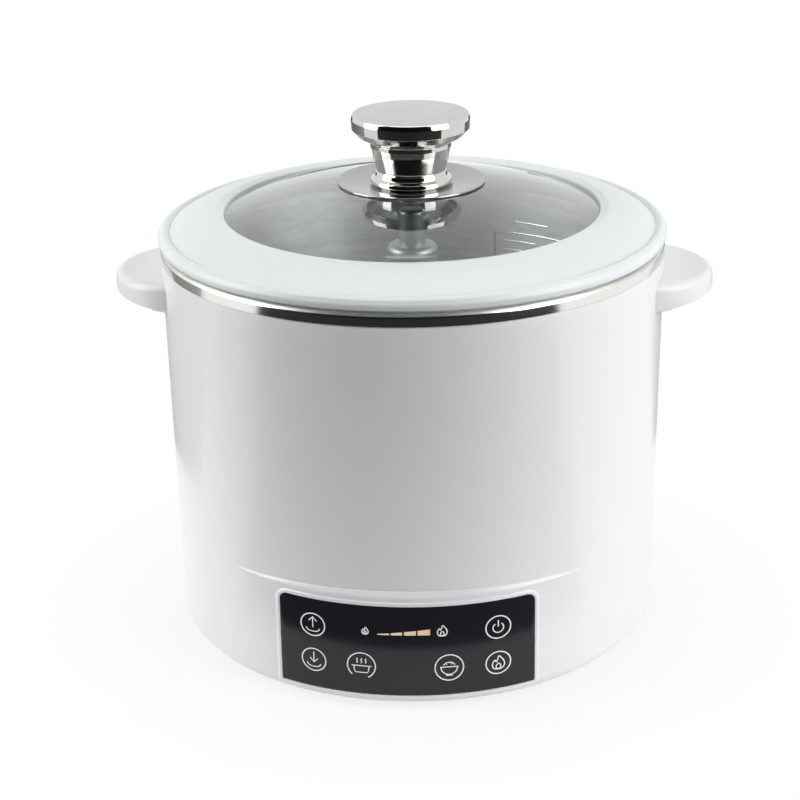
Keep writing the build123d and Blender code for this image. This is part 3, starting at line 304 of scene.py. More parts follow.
# The inner wall keeps a wall's thickness, and 2 mm more room round the inlet.
inner_z = np.concatenate(
    [[206.8], np.linspace(205, 60, 6), np.linspace(54, 12, 15), [5.6, 5.6, 3.0]]
)
inner_r = np.interp(inner_z, [3.0, 206.8], [shell_foot[0], shell_brim[0]]) - shell_wall
inner_r[-2:] = shell_lip
inside = inner_r[:, None] + 0 * turn
inner_z = inner_z[:, None] + 0 * turn
across, ahead = inside * np.cos(turn), inside * np.sin(turn)
at_inlet = (ahead > 0) & (np.abs(across) < inlet_x + 2)
at_inlet = at_inlet & (np.abs(inner_z - inlet_z) < inlet_rise + 2.4)
inside = inside - inlet_cut * at_inlet
distance = np.concatenate([outside, inside])
level = np.concatenate([outer_z, inner_z])
drum = np.stack([distance * np.cos(turn), distance * np.sin(turn), level], axis=-1)


def pod_outline(grow, steps=30):
    """Outline of the panel grown by a margin, as (x, z): its corners' arcs and, between
    them, straight runs cut into steps. Each point has its fellow in every other margin."""
    side, low, high = panel_x + grow, panel_low - grow, panel_high + grow
    near, far = (max(corner + grow, 0.05) for corner in panel_corners)
    corners = [(-side, low, near), (side, low, near), (side, high, far), (-side, high, far)]
    outline = rounded(corners)
    ahead = np.roll(outline, -1, axis=0)
    share = np.linspace(0, 1, steps, endpoint=False)[None, :, None]
    run = outline[:, None] + (ahead - outline)[:, None] * share
    keep = np.ones((len(outline), steps), bool)
    in_arc = np.arange(len(outline)) % (corner_steps + 1) != corner_steps
    keep[in_arc] = share[0, :, 0] == 0
    return run[keep]


def on_pod(outline, radius):
    """Points of an (x, z) outline laid on a cylinder about the pod's axis."""
    across, up = outline[..., 0], outline[..., 1]
    return np.stack([across, -pod_ahead - np.sqrt(radius**2 - across**2), up], axis=-1)


bezel_corners = [  # margin round the panel, radius about the pod's axis, rounding
    (0.15, 126.0, 0), (0.15, 127.6, 0.35), (1.7, 127.8, 0.9), (2.6, 126.85, 0.5), (2.65, 126.0, 0),
]
bezel_section = rounded(bezel_corners, 5)
bezel = np.stack([on_pod(pod_outline(grow), radius) for grow, radius in bezel_section])

moulded_white, shader, place = new_finish("moulded_white")
cloudy = speckle(place, 14.0)
orange_peel = speckle(place, 420.0)
plug(
    moulded_white.node_tree,
    shader,
    {
        "Base Color": two_tone(cloudy, (0.80, 0.80, 0.815), (0.82, 0.82, 0.835)),
        "Roughness": 0.26 + cloudy * 0.06,
        "Coat Weight": 0.35,
        "Coat Roughness": 0.12,
        "Normal": relief(orange_peel, 0.000012),
    },
)
shell = piece("shell_moulding", [(drum, True, True), (bezel, True, True)], moulded_white, 30.0)
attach(shell, "cooker")
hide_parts("outer_shell")


# ------------------------------------------------------------ control panel
# Curved smoked-black overlay behind which the touch springs stand. It is clipped into the
# bezel, with a fine polished edge.
panel_face, panel_back = 127.3, 125.7
edge_inset = -0.25


def filled(outline, radius, rings):
    """Outline laid on the pod's cylinder and closed by rings that shrink to its middle."""
    middle = np.array([0.0, (panel_low + panel_high) / 2])
    share = np.linspace(1, 0, rings)[:, None, None]
    return on_pod(middle + (outline - middle) * share, radius)


panel_edge = [(0.0, panel_back), (0.0, 127.05), (-0.07, 127.22), (edge_inset, panel_face)]
panel_rows = np.concatenate(
    [
        filled(pod_outline(0.0), panel_back, 24)[::-1],
        np.stack([on_pod(pod_outline(grow), radius) for grow, radius in panel_edge]),
        filled(pod_outline(edge_inset), panel_face, 40)[1:],
    ]
)
panel_black, shader, place = new_finish("panel_black")
haze = speckle(place, 30.0)
plug(
    panel_black.node_tree,
    shader,
    {
        "Base Color": two_tone(haze, (0.0125, 0.0115, 0.0155), (0.017, 0.015, 0.020)),
        "Roughness": 0.10 + haze * 0.05,
        "IOR": 1.42,
    },
)
panel = piece("panel_overlay", [(panel_rows, False, True)], panel_black)
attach(panel, "cooker")
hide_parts("control_panel")


# ------------------------------------------------------------ printed keys and level bar
# White ink screen-printed on the panel: six key rings, each with a plain symbol for what the
# key does, and a flame at either end of the level bar. The bar's four cells are a cream ink.
# Both inks are given a faint painted glow: an emission in their own colour, though no lamp lights
# them.
ink_over, ink_under = 0.035, 0.03  # the ink's faces, from the panel's face
ink_step = 1.5
ring_ink, symbol_ink = 0.62, 0.55
raise_key, lower_key = (-47.7, 44.5), (-47.7, 24.5)
power_key, heat_key = (46.6, 44.0), (46.6, 23.8)
rice_key, soup_key = (21.8, 24.4), (-22.9, 25.0)
small_ring, large_ring = 6.25, 7.2


def ribbon(line, width):
    """Strip along a polyline of (x, z) points, half its width to either side, as rows of two
    points: each is moved along the mean of its neighbours' normals."""
    line = np.array(line, float)
    ahead = np.gradient(line, axis=0)
    normal = np.stack([-ahead[:, 1], ahead[:, 0]], axis=1)
    normal /= np.linalg.norm(normal, axis=1, keepdims=True)
    return np.stack([line - normal * width / 2, line + normal * width / 2], axis=1)


def arc(middle, radius, start, end, squash=1.0):
    """Points of a circle's arc about a middle, between two angles in degrees."""
    angle = np.radians(np.linspace(start, end, 41))
    across, up = radius * np.cos(angle), squash * radius * np.sin(angle)
    return np.stack([middle[0] + across, middle[1] + up], axis=1)


def printed(strips):
    """Skins of strips laid on the panel, cut evenly along their length: a thin layer of ink
    with its edges closed."""
    skins = []
    for strip in strips:
        length = np.linalg.norm(np.diff(strip.mean(axis=1), axis=0), axis=1).sum()
        count = max(2, int(length / ink_step) + 1, len(strip))
        share = np.linspace(0, len(strip) - 1, count)
        low = np.minimum(share.astype(int), len(strip) - 2)
        strip = strip[low] + (strip[low + 1] - strip[low]) * (share - low)[:, None, None]
        top, base = on_pod(strip, panel_face + ink_over), on_pod(strip, panel_face - ink_under)
        loop = np.stack([base[:, 0], top[:, 0], top[:, 1], base[:, 1]], axis=1)
        skins.append((capped(loop), False, True))
    return skins


def capped(loops):
    """A tube's loops with a row at either end, drawn together in the end loop's middle."""
    ends = [loop.mean(axis=1, keepdims=True) + 0 * loop for loop in (loops[:1], loops[-1:])]
    return np.concatenate([ends[0], loops, ends[1]])


def softened(line, rounds=2):
    """Closed line with its corners cut twice over, a quarter in from each end of a run."""
    line = np.array(line, float)
    for _ in range(rounds):
        ahead = np.roll(line, -1, axis=0)
        line = np.stack([0.75 * line + 0.25 * ahead, 0.25 * line + 0.75 * ahead], axis=1)
        line = line.reshape(-1, 2)
    return np.concatenate([line, line[:1]])


def flame(size):
    """A flame's outline and the small tongue inside it."""
    body = [
        (0.0, -3.1), (-1.9, -2.8), (-2.7, -0.9), (-2.0, 1.0), (-1.2, 1.5), (-1.0, 0.2),
        (-0.3, 1.2), (0.1, 3.6), (1.5, 1.9), (2.5, 0.4), (2.7, -1.2), (1.9, -2.8),
    ]
    tongue = [(0.0, -3.0), (-1.1, -2.4), (-0.8, -1.1), (0.2, -0.1), (1.0, -1.2), (1.1, -2.4)]
    return [softened(part) * size for part in (body, tongue)]


# Each symbol's lines are given from the middle of its key, across and up.
tray = [(-3.6, -1.9), (-2.8, -3.3), (-1.5, -3.8), (1.5, -3.8), (2.8, -3.3), (3.6, -1.9)]
steam = [(0.0, 1.4), (0.5, 2.3), (0.0, 3.2), (0.5, 4.1)]
symbols = [
    (raise_key, [[(0, -1.6), (0, 4.2)], [(-2.1, 2.0), (0, 4.4), (2.1, 2.0)], tray]),
    (
        lower_key,
        [
            [(0, 4.4), (0, -1.3)], [(-2.1, 0.9), (0, -1.5), (2.1, 0.9)],
            [(x, z - 0.2) for x, z in tray],
        ],
    ),
    (power_key, [arc((0, -0.3), 2.7, 125, 415), [(0, 0.2), (0, 3.9)]]),
    (heat_key, flame(1.2)),
    (
        rice_key,
        [
            arc((0, 0.3), 4.2, 180, 360), [(-4.6, 0.4), (4.6, 0.4)], [(-1.7, -4.4), (1.7, -4.4)],
            arc((0, 0.6), 3.0, 20, 160, 0.8), [(-1.4, 1.6), (-1.2, 1.9)], [(1.0, 2.2), (1.3, 1.8)],
        ],
    ),
    (
        soup_key,
        [
            [(-3.9, -0.4), (-3.6, -3.2), (-2.8, -3.9), (2.8, -3.9), (3.6, -3.2), (3.9, -0.4)],
            [(-5.1, -0.1), (5.1, -0.1)],
            *([(x + aside, z) for aside, z in steam] for x in (-2.4, -0.2, 2.0)),
        ],
    ),
    ((-20.6, 45.0), flame(0.62)),
    ((18.4, 45.4), flame(0.95)),
]
key_rings = [
    *(arc(key, small_ring, 0, 360) for key in (raise_key, lower_key, power_key, heat_key)),
    arc(rice_key, large_ring, 0, 360),
    arc(soup_key, large_ring, -62, 228),
]
# The white ink's emission is a painted glow that makes the print shine, though it is no lamp.
print_white_painted_glow = worked_finish(
    "print_white_painted_glow", (0.74, 0.74, 0.73), (0.86, 0.86, 0.85), 0.4, 0.1, 900.0,
    Emission_Color=(0.9, 0.9, 0.9, 1), Emission_Strength=0.14,
)
strips = [ribbon(line, ring_ink) for line in key_rings]
strips += [
    ribbon(np.array(line) + middle, symbol_ink) for middle, lines in symbols for line in lines
]
key_print = piece("key_print", printed(strips), print_white_painted_glow)
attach(key_print, "cooker")

bar_low = 43.3
bar_cells = [  # left, right, height at the left, height at the right
    (-14.4, -8.4, 0.45, 1.0), (-7.5, -1.8, 1.15, 1.75),
    (-0.8, 5.2, 1.9, 2.5), (6.0, 12.3, 2.6, 3.3),
]
cells = [
    np.array(
        [[(left, bar_low), (left, bar_low + low)], [(right, bar_low), (right, bar_low + high)]]
    )
    for left, right, low, high in bar_cells
]


def axes_of(place):
    """The x, y and z of a place on a piece, in metres."""
    split = place.node("ShaderNodeSeparateXYZ", {0: place})
    return [Tap(split.tree, socket) for socket in split.socket.node.outputs]


level_cream_painted_glow, shader, place = new_finish("level_cream_painted_glow")
grain = speckle(place, 2500.0)
warmth = (axes_of(place)[0] + 0.016) * 32.0 + grain * 0.2
cream = two_tone(warmth, (0.93, 0.84, 0.70), (0.86, 0.60, 0.30))
plug(
    level_cream_painted_glow.node_tree,
    shader,
    {
        "Base Color": cream,
        "Roughness": 0.35 + grain * 0.1,
        # Painted glow: the cream cells emit their own colour faintly, though no lamp lights them.
        "Emission Color": cream,
        "Emission Strength": 0.12,
    },
)
level_bar = piece("level_bar", printed(cells), level_cream_painted_glow)
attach(level_bar, "cooker")


# ------------------------------------------------------------ control board behind the panel
# Green board on four posts, with sprung contacts behind the keys, a white light guide and
# four small lamps behind the level bar.
board_green = worked_finish(
    "board_green", (0.012, 0.075, 0.035), (0.02, 0.11, 0.05), 0.35, 0.15, 600.0, depth=0.00003
)
guide_white = worked_finish(
    "guide_white", (0.74, 0.74, 0.72), (0.80, 0.80, 0.78), 0.45, 0.1, 300.0
)
lamp_amber = worked_finish(
    "lamp_amber", (0.85, 0.62, 0.30), (0.90, 0.72, 0.42), 0.25, 0.1, 900.0
)
dress(board_green, "control_board", "power_board")
dress(screw_steel, "touch_springs")
dress(guide_white, "light_guide")
dress(lamp_amber, "level_leds")


# ------------------------------------------------------------ inner pot
# Deep-drawn stainless pot. Its wall is brushed round and round, its rim is polished and
# rolls down over the shell's edge.
pot_bore = 125.0


def turned(outline, columns=240):
    """Surface of revolution: each (radius, height) row carried round the Z axis."""
    angle = np.linspace(0, 2 * np.pi, columns, endpoint=False)
    radius, height = outline[:, :1], outline[:, 1:]
    return np.stack([radius * np.cos(angle), radius * np.sin(angle), height + 0 * angle], axis=-1)


def finely(outline, step):
    """The outline with its long runs cut so that no step is longer than the one given."""
    rows = [outline[:1]]
    for near, far in zip(outline[:-1], outline[1:]):
        count = max(1, int(np.linalg.norm(far - near) / step))
        share = np.linspace(0, 1, count + 1)[1:, None]
        rows.append(near + (far - near) * share)
    return np.concatenate(rows)


def off_axis(across, ahead):
    """Distance of a place from the Z axis: the root of the sum of two squares."""
    return (across * across + ahead * ahead) ** 0.5


pot_section = rounded(
    [
        (11.0, 80.0, 0), (126.0, 80.0, 15.0), (126.0, 212.5, 2.0), (132.9, 212.5, 1.2),
        (132.9, 206.8, 0), (133.9, 206.8, 0.3), (133.9, 213.5, 2.2), (pot_bore, 213.5, 3.0),
        (pot_bore, 81.0, 14.0), (11.0, 81.0, 0),
    ]
)
brushed_pot, shader, place = new_finish("brushed_pot")
across, ahead, height = axes_of(place)
bearing = across.node("ShaderNodeMath", {0: ahead, 1: across}, operation="ARCTAN2")
# The brush marks run round the pot: noise that hardly changes along the bearing.
wound = {0: bearing * 0.02, 1: height, 2: off_axis(across, ahead)}
wound = across.node("ShaderNodeCombineXYZ", wound)
streak = speckle(wound, 1400.0, (1.0, 1.0, 1.0), 3.0)
broad = speckle(wound, 300.0, (1.5, 1.0, 1.0), 3.0)
brushed_tone = streak * 0.3 + broad * 0.7
plug(
    brushed_pot.node_tree,
    shader,
    {
        "Base Color": two_tone(brushed_tone, (0.44, 0.44, 0.435), (0.98, 0.975, 0.96)),
        "Roughness": 0.34 + broad * 0.2,
        "Metallic": 1.0,
        "Anisotropic": 0.7,
        "Anisotropic Rotation": 0.25,
        "Normal": relief(streak, 0.000035, 0.6),
    },
)
pot = piece("drawn_pot", [(turned(finely(pot_section, 8.0), 300), True, True)], brushed_pot)
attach(pot, "cooker")
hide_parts("inner_pot")


# ------------------------------------------------------------ pot's polished rim
# The stainless rim that the drawn pot hangs by, rolled down over the shell's brim. It is
# buffed bright after drawing, as a thin skin over the satin of the wall.
rolled_section = rounded(
    [
        (125.6, 213.40, 0), (126.6, 213.58, 0.3), (132.0, 213.58, 1.7), (133.96, 212.0, 1.2),
        (133.96, 207.0, 0.2), (133.3, 206.95, 0), (133.3, 212.4, 0.5), (126.0, 213.1, 0),
    ]
)
rim_bright, shader, place = new_finish("rim_bright")
swirl = speckle(place, 500.0, (1, 1, 3))
plug(
    rim_bright.node_tree,
    shader,
    {
        "Base Color": two_tone(swirl, (0.80, 0.79, 0.765), (0.88, 0.87, 0.85)),
        "Roughness": 0.10 + swirl * 0.06,
        "Metallic": 1.0,
    },
)
rim = piece("rolled_rim", [(turned(rolled_section, 360), True, True)], rim_bright)
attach(rim, "cooker")


# ------------------------------------------------------------ level marks inside the pot
# Graduations pressed into the pot's steel wall from outside, at the rear right: a short line
# for the highest level, and below it a frame with long and short ticks.
rib_proud, rib_rooted = 0.55, 0.3
rib_steps = 24
# Angles are bearings from the front, towards the right: 180 is the rear.
frame_left, frame_right, frame_top, frame_low = 159.7, 137.5, 181.0, 137.0
line_left, line_right, line_z = 153.5, 143.5, 187.7
tick_left, tick_low, tick_high, tick_pitch = 157.0, 143.0, 178.0, 5.5
long_tick, short_tick = 9.5, 5.5  # degrees


def emboss(start, end, width, steps=rib_steps):
    """Rounded rib on the pot's wall from one (bearing, height) to another: a half ellipse
    carried along the line and wrapped round the bore, its foot sunk in the wall."""
    bearing = np.radians(np.linspace(start[0], end[0], steps) - 90)
    run = np.stack([pot_bore * bearing, np.linspace(start[1], end[1], steps)], axis=1)
    ahead = np.gradient(run, axis=0)
    normal = np.stack([-ahead[:, 1], ahead[:, 0]], axis=1)
    normal /= np.linalg.norm(normal, axis=1, keepdims=True)
    bend = np.linspace(0, np.pi, 7)
    across = np.concatenate([np.cos(bend) * width / 2, [0.0]])
    rise = np.concatenate([np.sin(bend) * rib_proud, [-rib_rooted]])
    line = run[:, None] + normal[:, None] * across[None, :, None]
    angle, radius = line[..., 0] / pot_bore, pot_bore - rise[None, :]
    loops = np.stack([radius * np.cos(angle), radius * np.sin(angle), line[..., 1]], axis=-1)
    return (capped(loops), False, True)


marks = [
    emboss((line_left, line_z), (line_right, line_z), 1.6),
    emboss((frame_left, frame_top), (frame_right, frame_top), 1.4),
    emboss((frame_left, frame_low), (frame_right, frame_low), 1.4),
    emboss((frame_left, frame_low), (frame_left, frame_top), 1.4),
    emboss((frame_right, frame_low), (frame_right, frame_top), 1.4),
]
for count, tick in enumerate(np.arange(tick_low, tick_high, tick_pitch)):
    tick_right = tick_left - (long_tick if count % 2 == 0 else short_tick)
    marks.append(emboss((tick_left, tick), (tick_right, tick), 1.2, 8))
level_marks = piece("level_marks", marks, rim_bright)
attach(level_marks, "cooker")


# ------------------------------------------------------------ handles
# Two ears moulded in the shell's white, each a rounded tab with a hollow underneath for the
# fingers. The tab thins a little towards its tip.
ear_columns = 97
ear_reach, ear_radius = 160.0, 42.0
ear_middle = ear_reach - ear_radius
ear_top, ear_low = 198.0, 183.0
ear_round, ear_lip = 4.5, 1.4  # rounding of its top edge and of its lower edge
ear_wall = 3.2
ear_seat, ear_root = 132.2, 141.0
ear_sweep, seat_sweep = 80.5, 17.6  # degrees to either side: round the plan, on the shell
hollow_depth = 11.4
hollow_fade = 0.12  # where the hollow runs in less far than this share, its roof comes down
low_lift, top_lift = 3.2, -1.0  # how far its faces draw together towards the tip
lift_from = 134.0


def ear(side):
    """Closed skin of one ear. Columns run round its plan, rows round its section: over the
    top from the seat, down the rolled edge, up inside the hollow and back to the seat."""
    around = np.radians(np.linspace(-ear_sweep, ear_sweep, ear_columns))
    seat_angle = around / around[-1] * np.radians(seat_sweep)
    seat = np.stack([ear_seat * np.cos(seat_angle), ear_seat * np.sin(seat_angle)], axis=1)

    def rim(inset):
        across = (ear_radius - inset) * np.cos(around)
        return np.stack([ear_middle + across, (ear_radius - inset) * np.sin(around)], axis=1)

    def row(inset, share, height, lift):
        plan = rim(inset) + (seat - rim(inset)) * share
        out = np.clip((np.hypot(*plan.T) - lift_from) / (ear_reach - lift_from), 0, 1)
        return np.concatenate([plan, (height + lift * out)[:, None]], axis=1)

    reach = np.hypot(*rim(ear_wall).T)
    hollow = np.clip((reach - ear_root) / (reach - ear_seat), 0, 1)[:, None]
    roof = ear_low + hollow_depth * np.clip(hollow[:, 0] / hollow_fade, 0, 1) ** 0.5
    upper = 1 - np.sin(np.linspace(0, np.pi / 2, 9))[1:]
    upper_fall = 1 - np.cos(np.linspace(0, np.pi / 2, 9))[1:]
    lower = 1 - np.cos(np.linspace(0, np.pi / 2, 5))
    lower_fall = 1 - np.sin(np.linspace(0, np.pi / 2, 5))
    skin = np.stack(
        [
            *(row(ear_round, share, ear_top, top_lift) for share in np.linspace(1, 0, 12)),
            *(
                row(ear_round * inset, 0, ear_top - ear_round * fall, top_lift)
                for inset, fall in zip(upper, upper_fall)
            ),
            *(
                row(ear_lip * inset, 0, ear_low + ear_lip * fall, low_lift)
                for inset, fall in zip(lower, lower_fall)
            ),
            row(ear_wall - 0.6, 0, ear_low, low_lift),
            row(ear_wall, 0, ear_low + 0.6, low_lift),
            row(ear_wall + 0.2, 0, roof - 1.0, low_lift * 0.4),
            row(ear_wall + 1.0, 0, roof, low_lift * 0.2),
            row(ear_wall + 1.0, hollow * 0.97, roof, 0.0),
            row(ear_wall + 0.2, hollow, roof - 0.6, 0.0),
            row(ear_wall, hollow, ear_low, 0.0),
            row(ear_wall, 1, ear_low, 0.0),
        ]
    )
    ends = [skin[:, at].mean(axis=0) + 0 * skin[:, :1] for at in (0, -1)]
    skin = np.concatenate([ends[0], skin, ends[1]], axis=1)
    skin[..., 0] *= side
    return skin


ear_white = worked_finish(
    "ear_white", (0.77, 0.775, 0.785), (0.80, 0.80, 0.81), 0.34, 0.08, 60.0, depth=0.00001,
    Coat_Weight=0.2, Coat_Roughness=0.2,
)
for side, name in ((1, "right"), (-1, "left")):
    handle = piece("ear_" + name, [(ear(side), True, False)], ear_white, 45.0)
    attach(handle, "cooker")
    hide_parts("handle_" + name)


# ------------------------------------------------------------ heater under the pot
# Cast aluminium plate with a tubular element, a sensor in a spring cup, a ceramic fuse, and
# three steel posts that stand it off the cover.
cast_aluminium = worked_finish(
    "cast_aluminium", (0.50, 0.50, 0.51), (0.66, 0.66, 0.67), 0.42, 0.2, 260.0,
    depth=0.00008, Metallic=1.0,
)
element_steel = worked_finish(
    "element_steel", (0.20, 0.19, 0.18), (0.34, 0.32, 0.30), 0.4, 0.2, 500.0, Metallic=1.0
)
fuse_white = worked_finish("fuse_white", (0.72, 0.71, 0.68), (0.80, 0.79, 0.76), 0.5, 0.2, 800.0)
dress(cast_aluminium, "heating_plate")
dress(element_steel, "heating_element")
dress(screw_steel, "temperature_sensor", "support_posts")
dress(fuse_white, "thermal_fuse")


# ------------------------------------------------------------ guide column
# Turned stainless tube bolted through the pot's floor on a silicone gasket, with plastic
# bushes that guide the screw and the push tube.
column_steel, shader, place = new_finish("column_steel")
ring_marks = speckle(place, 900.0, (0.04, 0.04, 1.0), 3.0)
plug(
    column_steel.node_tree,
    shader,
    {
        "Base Color": two_tone(ring_marks, (0.48, 0.475, 0.465), (0.60, 0.595, 0.58)),
        "Roughness": 0.16 + ring_marks * 0.12,
        "Metallic": 1.0,
        "Normal": relief(ring_marks, 0.00001),
    },
)
seal_silicone = worked_finish(
    "seal_silicone", (0.62, 0.64, 0.64), (0.70, 0.72, 0.72), 0.5, 0.1, 300.0
)
bush_white = worked_finish("bush_white", (0.66, 0.66, 0.63), (0.74, 0.74, 0.71), 0.4, 0.1, 400.0)
dress(column_steel, "guide_column", "column_nut", "push_tube", "tube_cap")
dress(seal_silicone, "column_gasket", "upper_gasket", "lower_gasket")
dress(bush_white, "lower_bush", "upper_bush")


# ------------------------------------------------------------ lift drive
# Geared motor hung from a folded steel bracket, its shaft coupled to a ground lead screw
# that drives a brass nut inside the column.
motor_zinc = worked_finish(
    "motor_zinc", (0.44, 0.45, 0.46), (0.58, 0.59, 0.60), 0.32, 0.18, 350.0, Metallic=1.0
)
nut_brass = worked_finish(
    "nut_brass", (0.60, 0.42, 0.18), (0.74, 0.54, 0.26), 0.24, 0.14, 800.0, Metallic=1.0
)
screw_ground = worked_finish(
    "screw_ground", (0.46, 0.46, 0.46), (0.60, 0.60, 0.60), 0.18, 0.14, 1200.0,
    (0.2, 0.2, 1.0), Metallic=1.0,
)
dress(motor_zinc, "lift_motor", "motor_bracket")
dress(nut_brass, "lift_nut")
dress(screw_ground, "lead_screw", "shaft_coupler", "motor_shaft")


# ------------------------------------------------------------ power board and inlet
# Board with relay, transformer and capacitor on four standoffs, and a black flanged inlet
# with three brass blades in its recess.
relay_blue = worked_finish("relay_blue", (0.02, 0.09, 0.30), (0.03, 0.13, 0.38), 0.35, 0.1, 500.0)
ferrite_yellow = worked_finish(
    "ferrite_yellow", (0.62, 0.46, 0.07), (0.74, 0.58, 0.14), 0.5, 0.1, 700.0
)
sleeve_black = worked_finish(
    "sleeve_black", (0.02, 0.02, 0.03), (0.04, 0.04, 0.06), 0.3, 0.1, 600.0
)
inlet_black = worked_finish(
    "inlet_black", (0.018, 0.018, 0.019), (0.035, 0.035, 0.036), 0.42, 0.2, 1100.0, depth=0.00004
)
pin_brass = worked_finish(
    "pin_brass", (0.66, 0.55, 0.36), (0.78, 0.68, 0.48), 0.22, 0.12, 900.0, Metallic=1.0
)
dress(relay_blue, "relay")
dress(ferrite_yellow, "transformer")
dress(sleeve_black, "capacitor")
dress(inlet_black, "power_inlet")
dress(pin_brass, "inlet_pins")
dress(screw_steel, "inlet_screws")


# ------------------------------------------------------------ strainer basket
# Pressed stainless bowl with slots punched in its wall and floor, a rolled rim, and a tall
# satin sleeve in the middle that drops over the column and ends in a stem.
dress(column_steel, "basket_bowl", "basket_floor", "basket_rim")

sleeve_bore, sleeve_radius, flange_radius = 13.0, 14.0, 22.0
sleeve_section = rounded(
    [
        (0.0, 206.0, 0), (sleeve_bore, 206.0, 1.5), (sleeve_bore, 87.8, 0),
        (sleeve_radius, 87.8, 0), (sleeve_radius, 88.6, 0), (flange_radius, 88.6, 0),
        (flange_radius, 89.4, 0.4), (sleeve_radius, 89.4, 1.0), (sleeve_radius, 209.0, 4.0),
        (0.0, 209.0, 0),
    ]
)
sleeve_satin = worked_finish(
    "sleeve_satin", (0.37, 0.37, 0.363), (0.462, 0.459, 0.449), 0.36, 0.14, 900.0,
    (0.04, 0.04, 1.0), Metallic=1.0,
)
sleeve_rows = turned(finely(sleeve_section, 6.0), 96)
sleeve = piece("lift_sleeve", [(sleeve_rows, False, True)], sleeve_satin)
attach(sleeve, "basket")
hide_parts("basket_sleeve")
dress(sleeve_satin, "basket_stem")


# ------------------------------------------------------------ lid glass
# Domed toughened glass, 4 mm thick, faintly green at its ground edge, with a hole for the
# knob's screw. The ring holds its edge, and the gaskets and the saucer clamp its middle.
glass_sphere, glass_thick = 409.5, 4.0
glass_edge, glass_bore = 118.0, 5.0
bevel_in, bevel_down = 0.6, 0.7
glass_top = 240.0
crown_edge, crown_rise, crown_fall = 97.0, 5.75, 17.4
gasket_radius, gasket_step = 16.5, 1.3
saucer_flat, saucer_slope = 22.0, 0.11


def crown(radius):
    """Height of the glass's outer face at a radius: near the ring a sphere, inside 97 mm a
    fuller square curve, and in the middle a flat seat and a shallow cone under the saucer."""
    sphere = glass_top - glass_sphere + np.sqrt(glass_sphere**2 - radius**2)
    fuller = glass_top + crown_rise - crown_fall * (radius / crown_edge) ** 2
    seat = glass_top + gasket_step * np.clip((radius - gasket_radius) / 2, 0, 1)
    under_saucer = saucer_slope * np.clip(radius - saucer_flat, 0, None)
    return np.minimum(joined(fuller, sphere, 0.3), seat + under_saucer)


outer = np.linspace(glass_edge - bevel_in, glass_bore, 90)
edge_top = crown(glass_edge)
glass_section = np.concatenate(
    [
        np.stack([outer, crown(outer)], axis=1),
        np.stack([outer, crown(outer) - glass_thick], axis=1)[::-1],
        [[glass_edge, edge_top - glass_thick + bevel_down], [glass_edge, edge_top - bevel_down]],
    ]
)
clear_glass, shader, place = new_finish("clear_glass")
bloom = speckle(place, 25.0)
clear = place.node("ShaderNodeBsdfTransparent", {"Color": (0.91, 0.943, 0.933, 1)})
mirrored = place.node("ShaderNodeBsdfAnisotropic", {"Color": (1, 1, 1, 1), "Roughness": 0.03})
slant = place.node("ShaderNodeLayerWeight", {"Blend": 0.5}, out="Facing")
# In real glass the images of the two faces fall almost together, so the face that is met first
# carries both.
met_last = place.node("ShaderNodeNewGeometry", {}, out="Backfacing")
sheen = (0.07 + bloom * 0.02 + 0.91 * slant**3.4) * (1 - met_last)
sheet = place.node("ShaderNodeMixShader", {0: sheen, 1: clear, 2: mirrored})
tree = clear_glass.node_tree
tree.nodes.remove(shader)
plug(tree, tree.nodes["Material Output"], {"Surface": sheet})
glass = piece("lid_dome", [(turned(glass_section, 240), True, True)], clear_glass)
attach(glass, "lid")
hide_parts("lid_glass")


# ------------------------------------------------------------ lid ring
# Wide white silicone ring moulded round the glass: a bulging top band, a fine groove near
# the outside, a soft outer lip that rests on the pot's rim, and a skirt inside the pot.
ring_section = rounded(
    [
        (99.8, 229.1, 0.8), (104.5, 229.75, 4.0), (113.16, 228.1, 25.0), (121.6, 225.1, 25.0),
        (128.45, 221.2, 1.0), (128.9, 220.3, 0.3), (129.8, 221.2, 0.5), (131.6, 222.1, 1.6),
        (133.9, 220.6, 2.0), (135.0, 218.4, 1.0), (135.0, 217.3, 0.2), (134.5, 217.0, 0.2),
        (134.0, 215.3, 0.6), (130.8, 214.5, 0.3), (130.2, 213.5, 0.2), (124.0, 213.5, 0),
        (124.0, 208.0, 1.0), (121.0, 208.0, 1.0), (120.4, 214.8, 1.5), (118.8, 216.2, 1.0),
        (106.3, 220.0, 0.6), (106.3, 224.5, 0), (99.8, 226.2, 0),
    ],
    7,
)
ring_silicone, shader, place = new_finish("ring_silicone")
milk = speckle(place, 22.0)
dusty = speckle(place, 700.0)
plug(
    ring_silicone.node_tree,
    shader,
    {
        "Base Color": two_tone(milk, (0.765, 0.815, 0.815), (0.80, 0.835, 0.835)),
        "Roughness": 0.36 + milk * 0.08,
        "Coat Weight": 0.15,
        "Coat Roughness": 0.3,
        "Normal": relief(dusty, 0.000008),
    },
)
ring = piece("silicone_ring", [(turned(ring_section, 360), True, True)], ring_silicone, 50.0)
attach(ring, "lid")
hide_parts("lid_ring")


# ------------------------------------------------------------ knob and its saucer
# Spun stainless saucer on the glass, and a hollow two-part knob with a necked grip, both
# mirror polished and held by one screw from below. The knob's flat top is left satin.
saucer_radius, saucer_rise, saucer_thick = 39.3, 1.9, 0.8
saucer_z = 241.5
dish_top = saucer_z + saucer_thick
dish_section = rounded(
    [
        (3.0, saucer_z, 0), (saucer_flat, saucer_z, 4.0),
        (saucer_radius, saucer_z + saucer_rise, 0.3), (saucer_radius, dish_top + saucer_rise, 0.3),
        (saucer_flat, dish_top, 4.0), (3.0, dish_top, 0),
    ]
)
dish_steel = worked_finish(
    "dish_steel", (0.32, 0.32, 0.31), (0.40, 0.40, 0.39), 0.08, 0.08, 90.0, (1, 1, 3), Metallic=1.0
)
dish = piece("saucer", [(turned(finely(dish_section, 3.0), 180), True, True)], dish_steel)
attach(dish, "lid")
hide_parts("knob_dish")

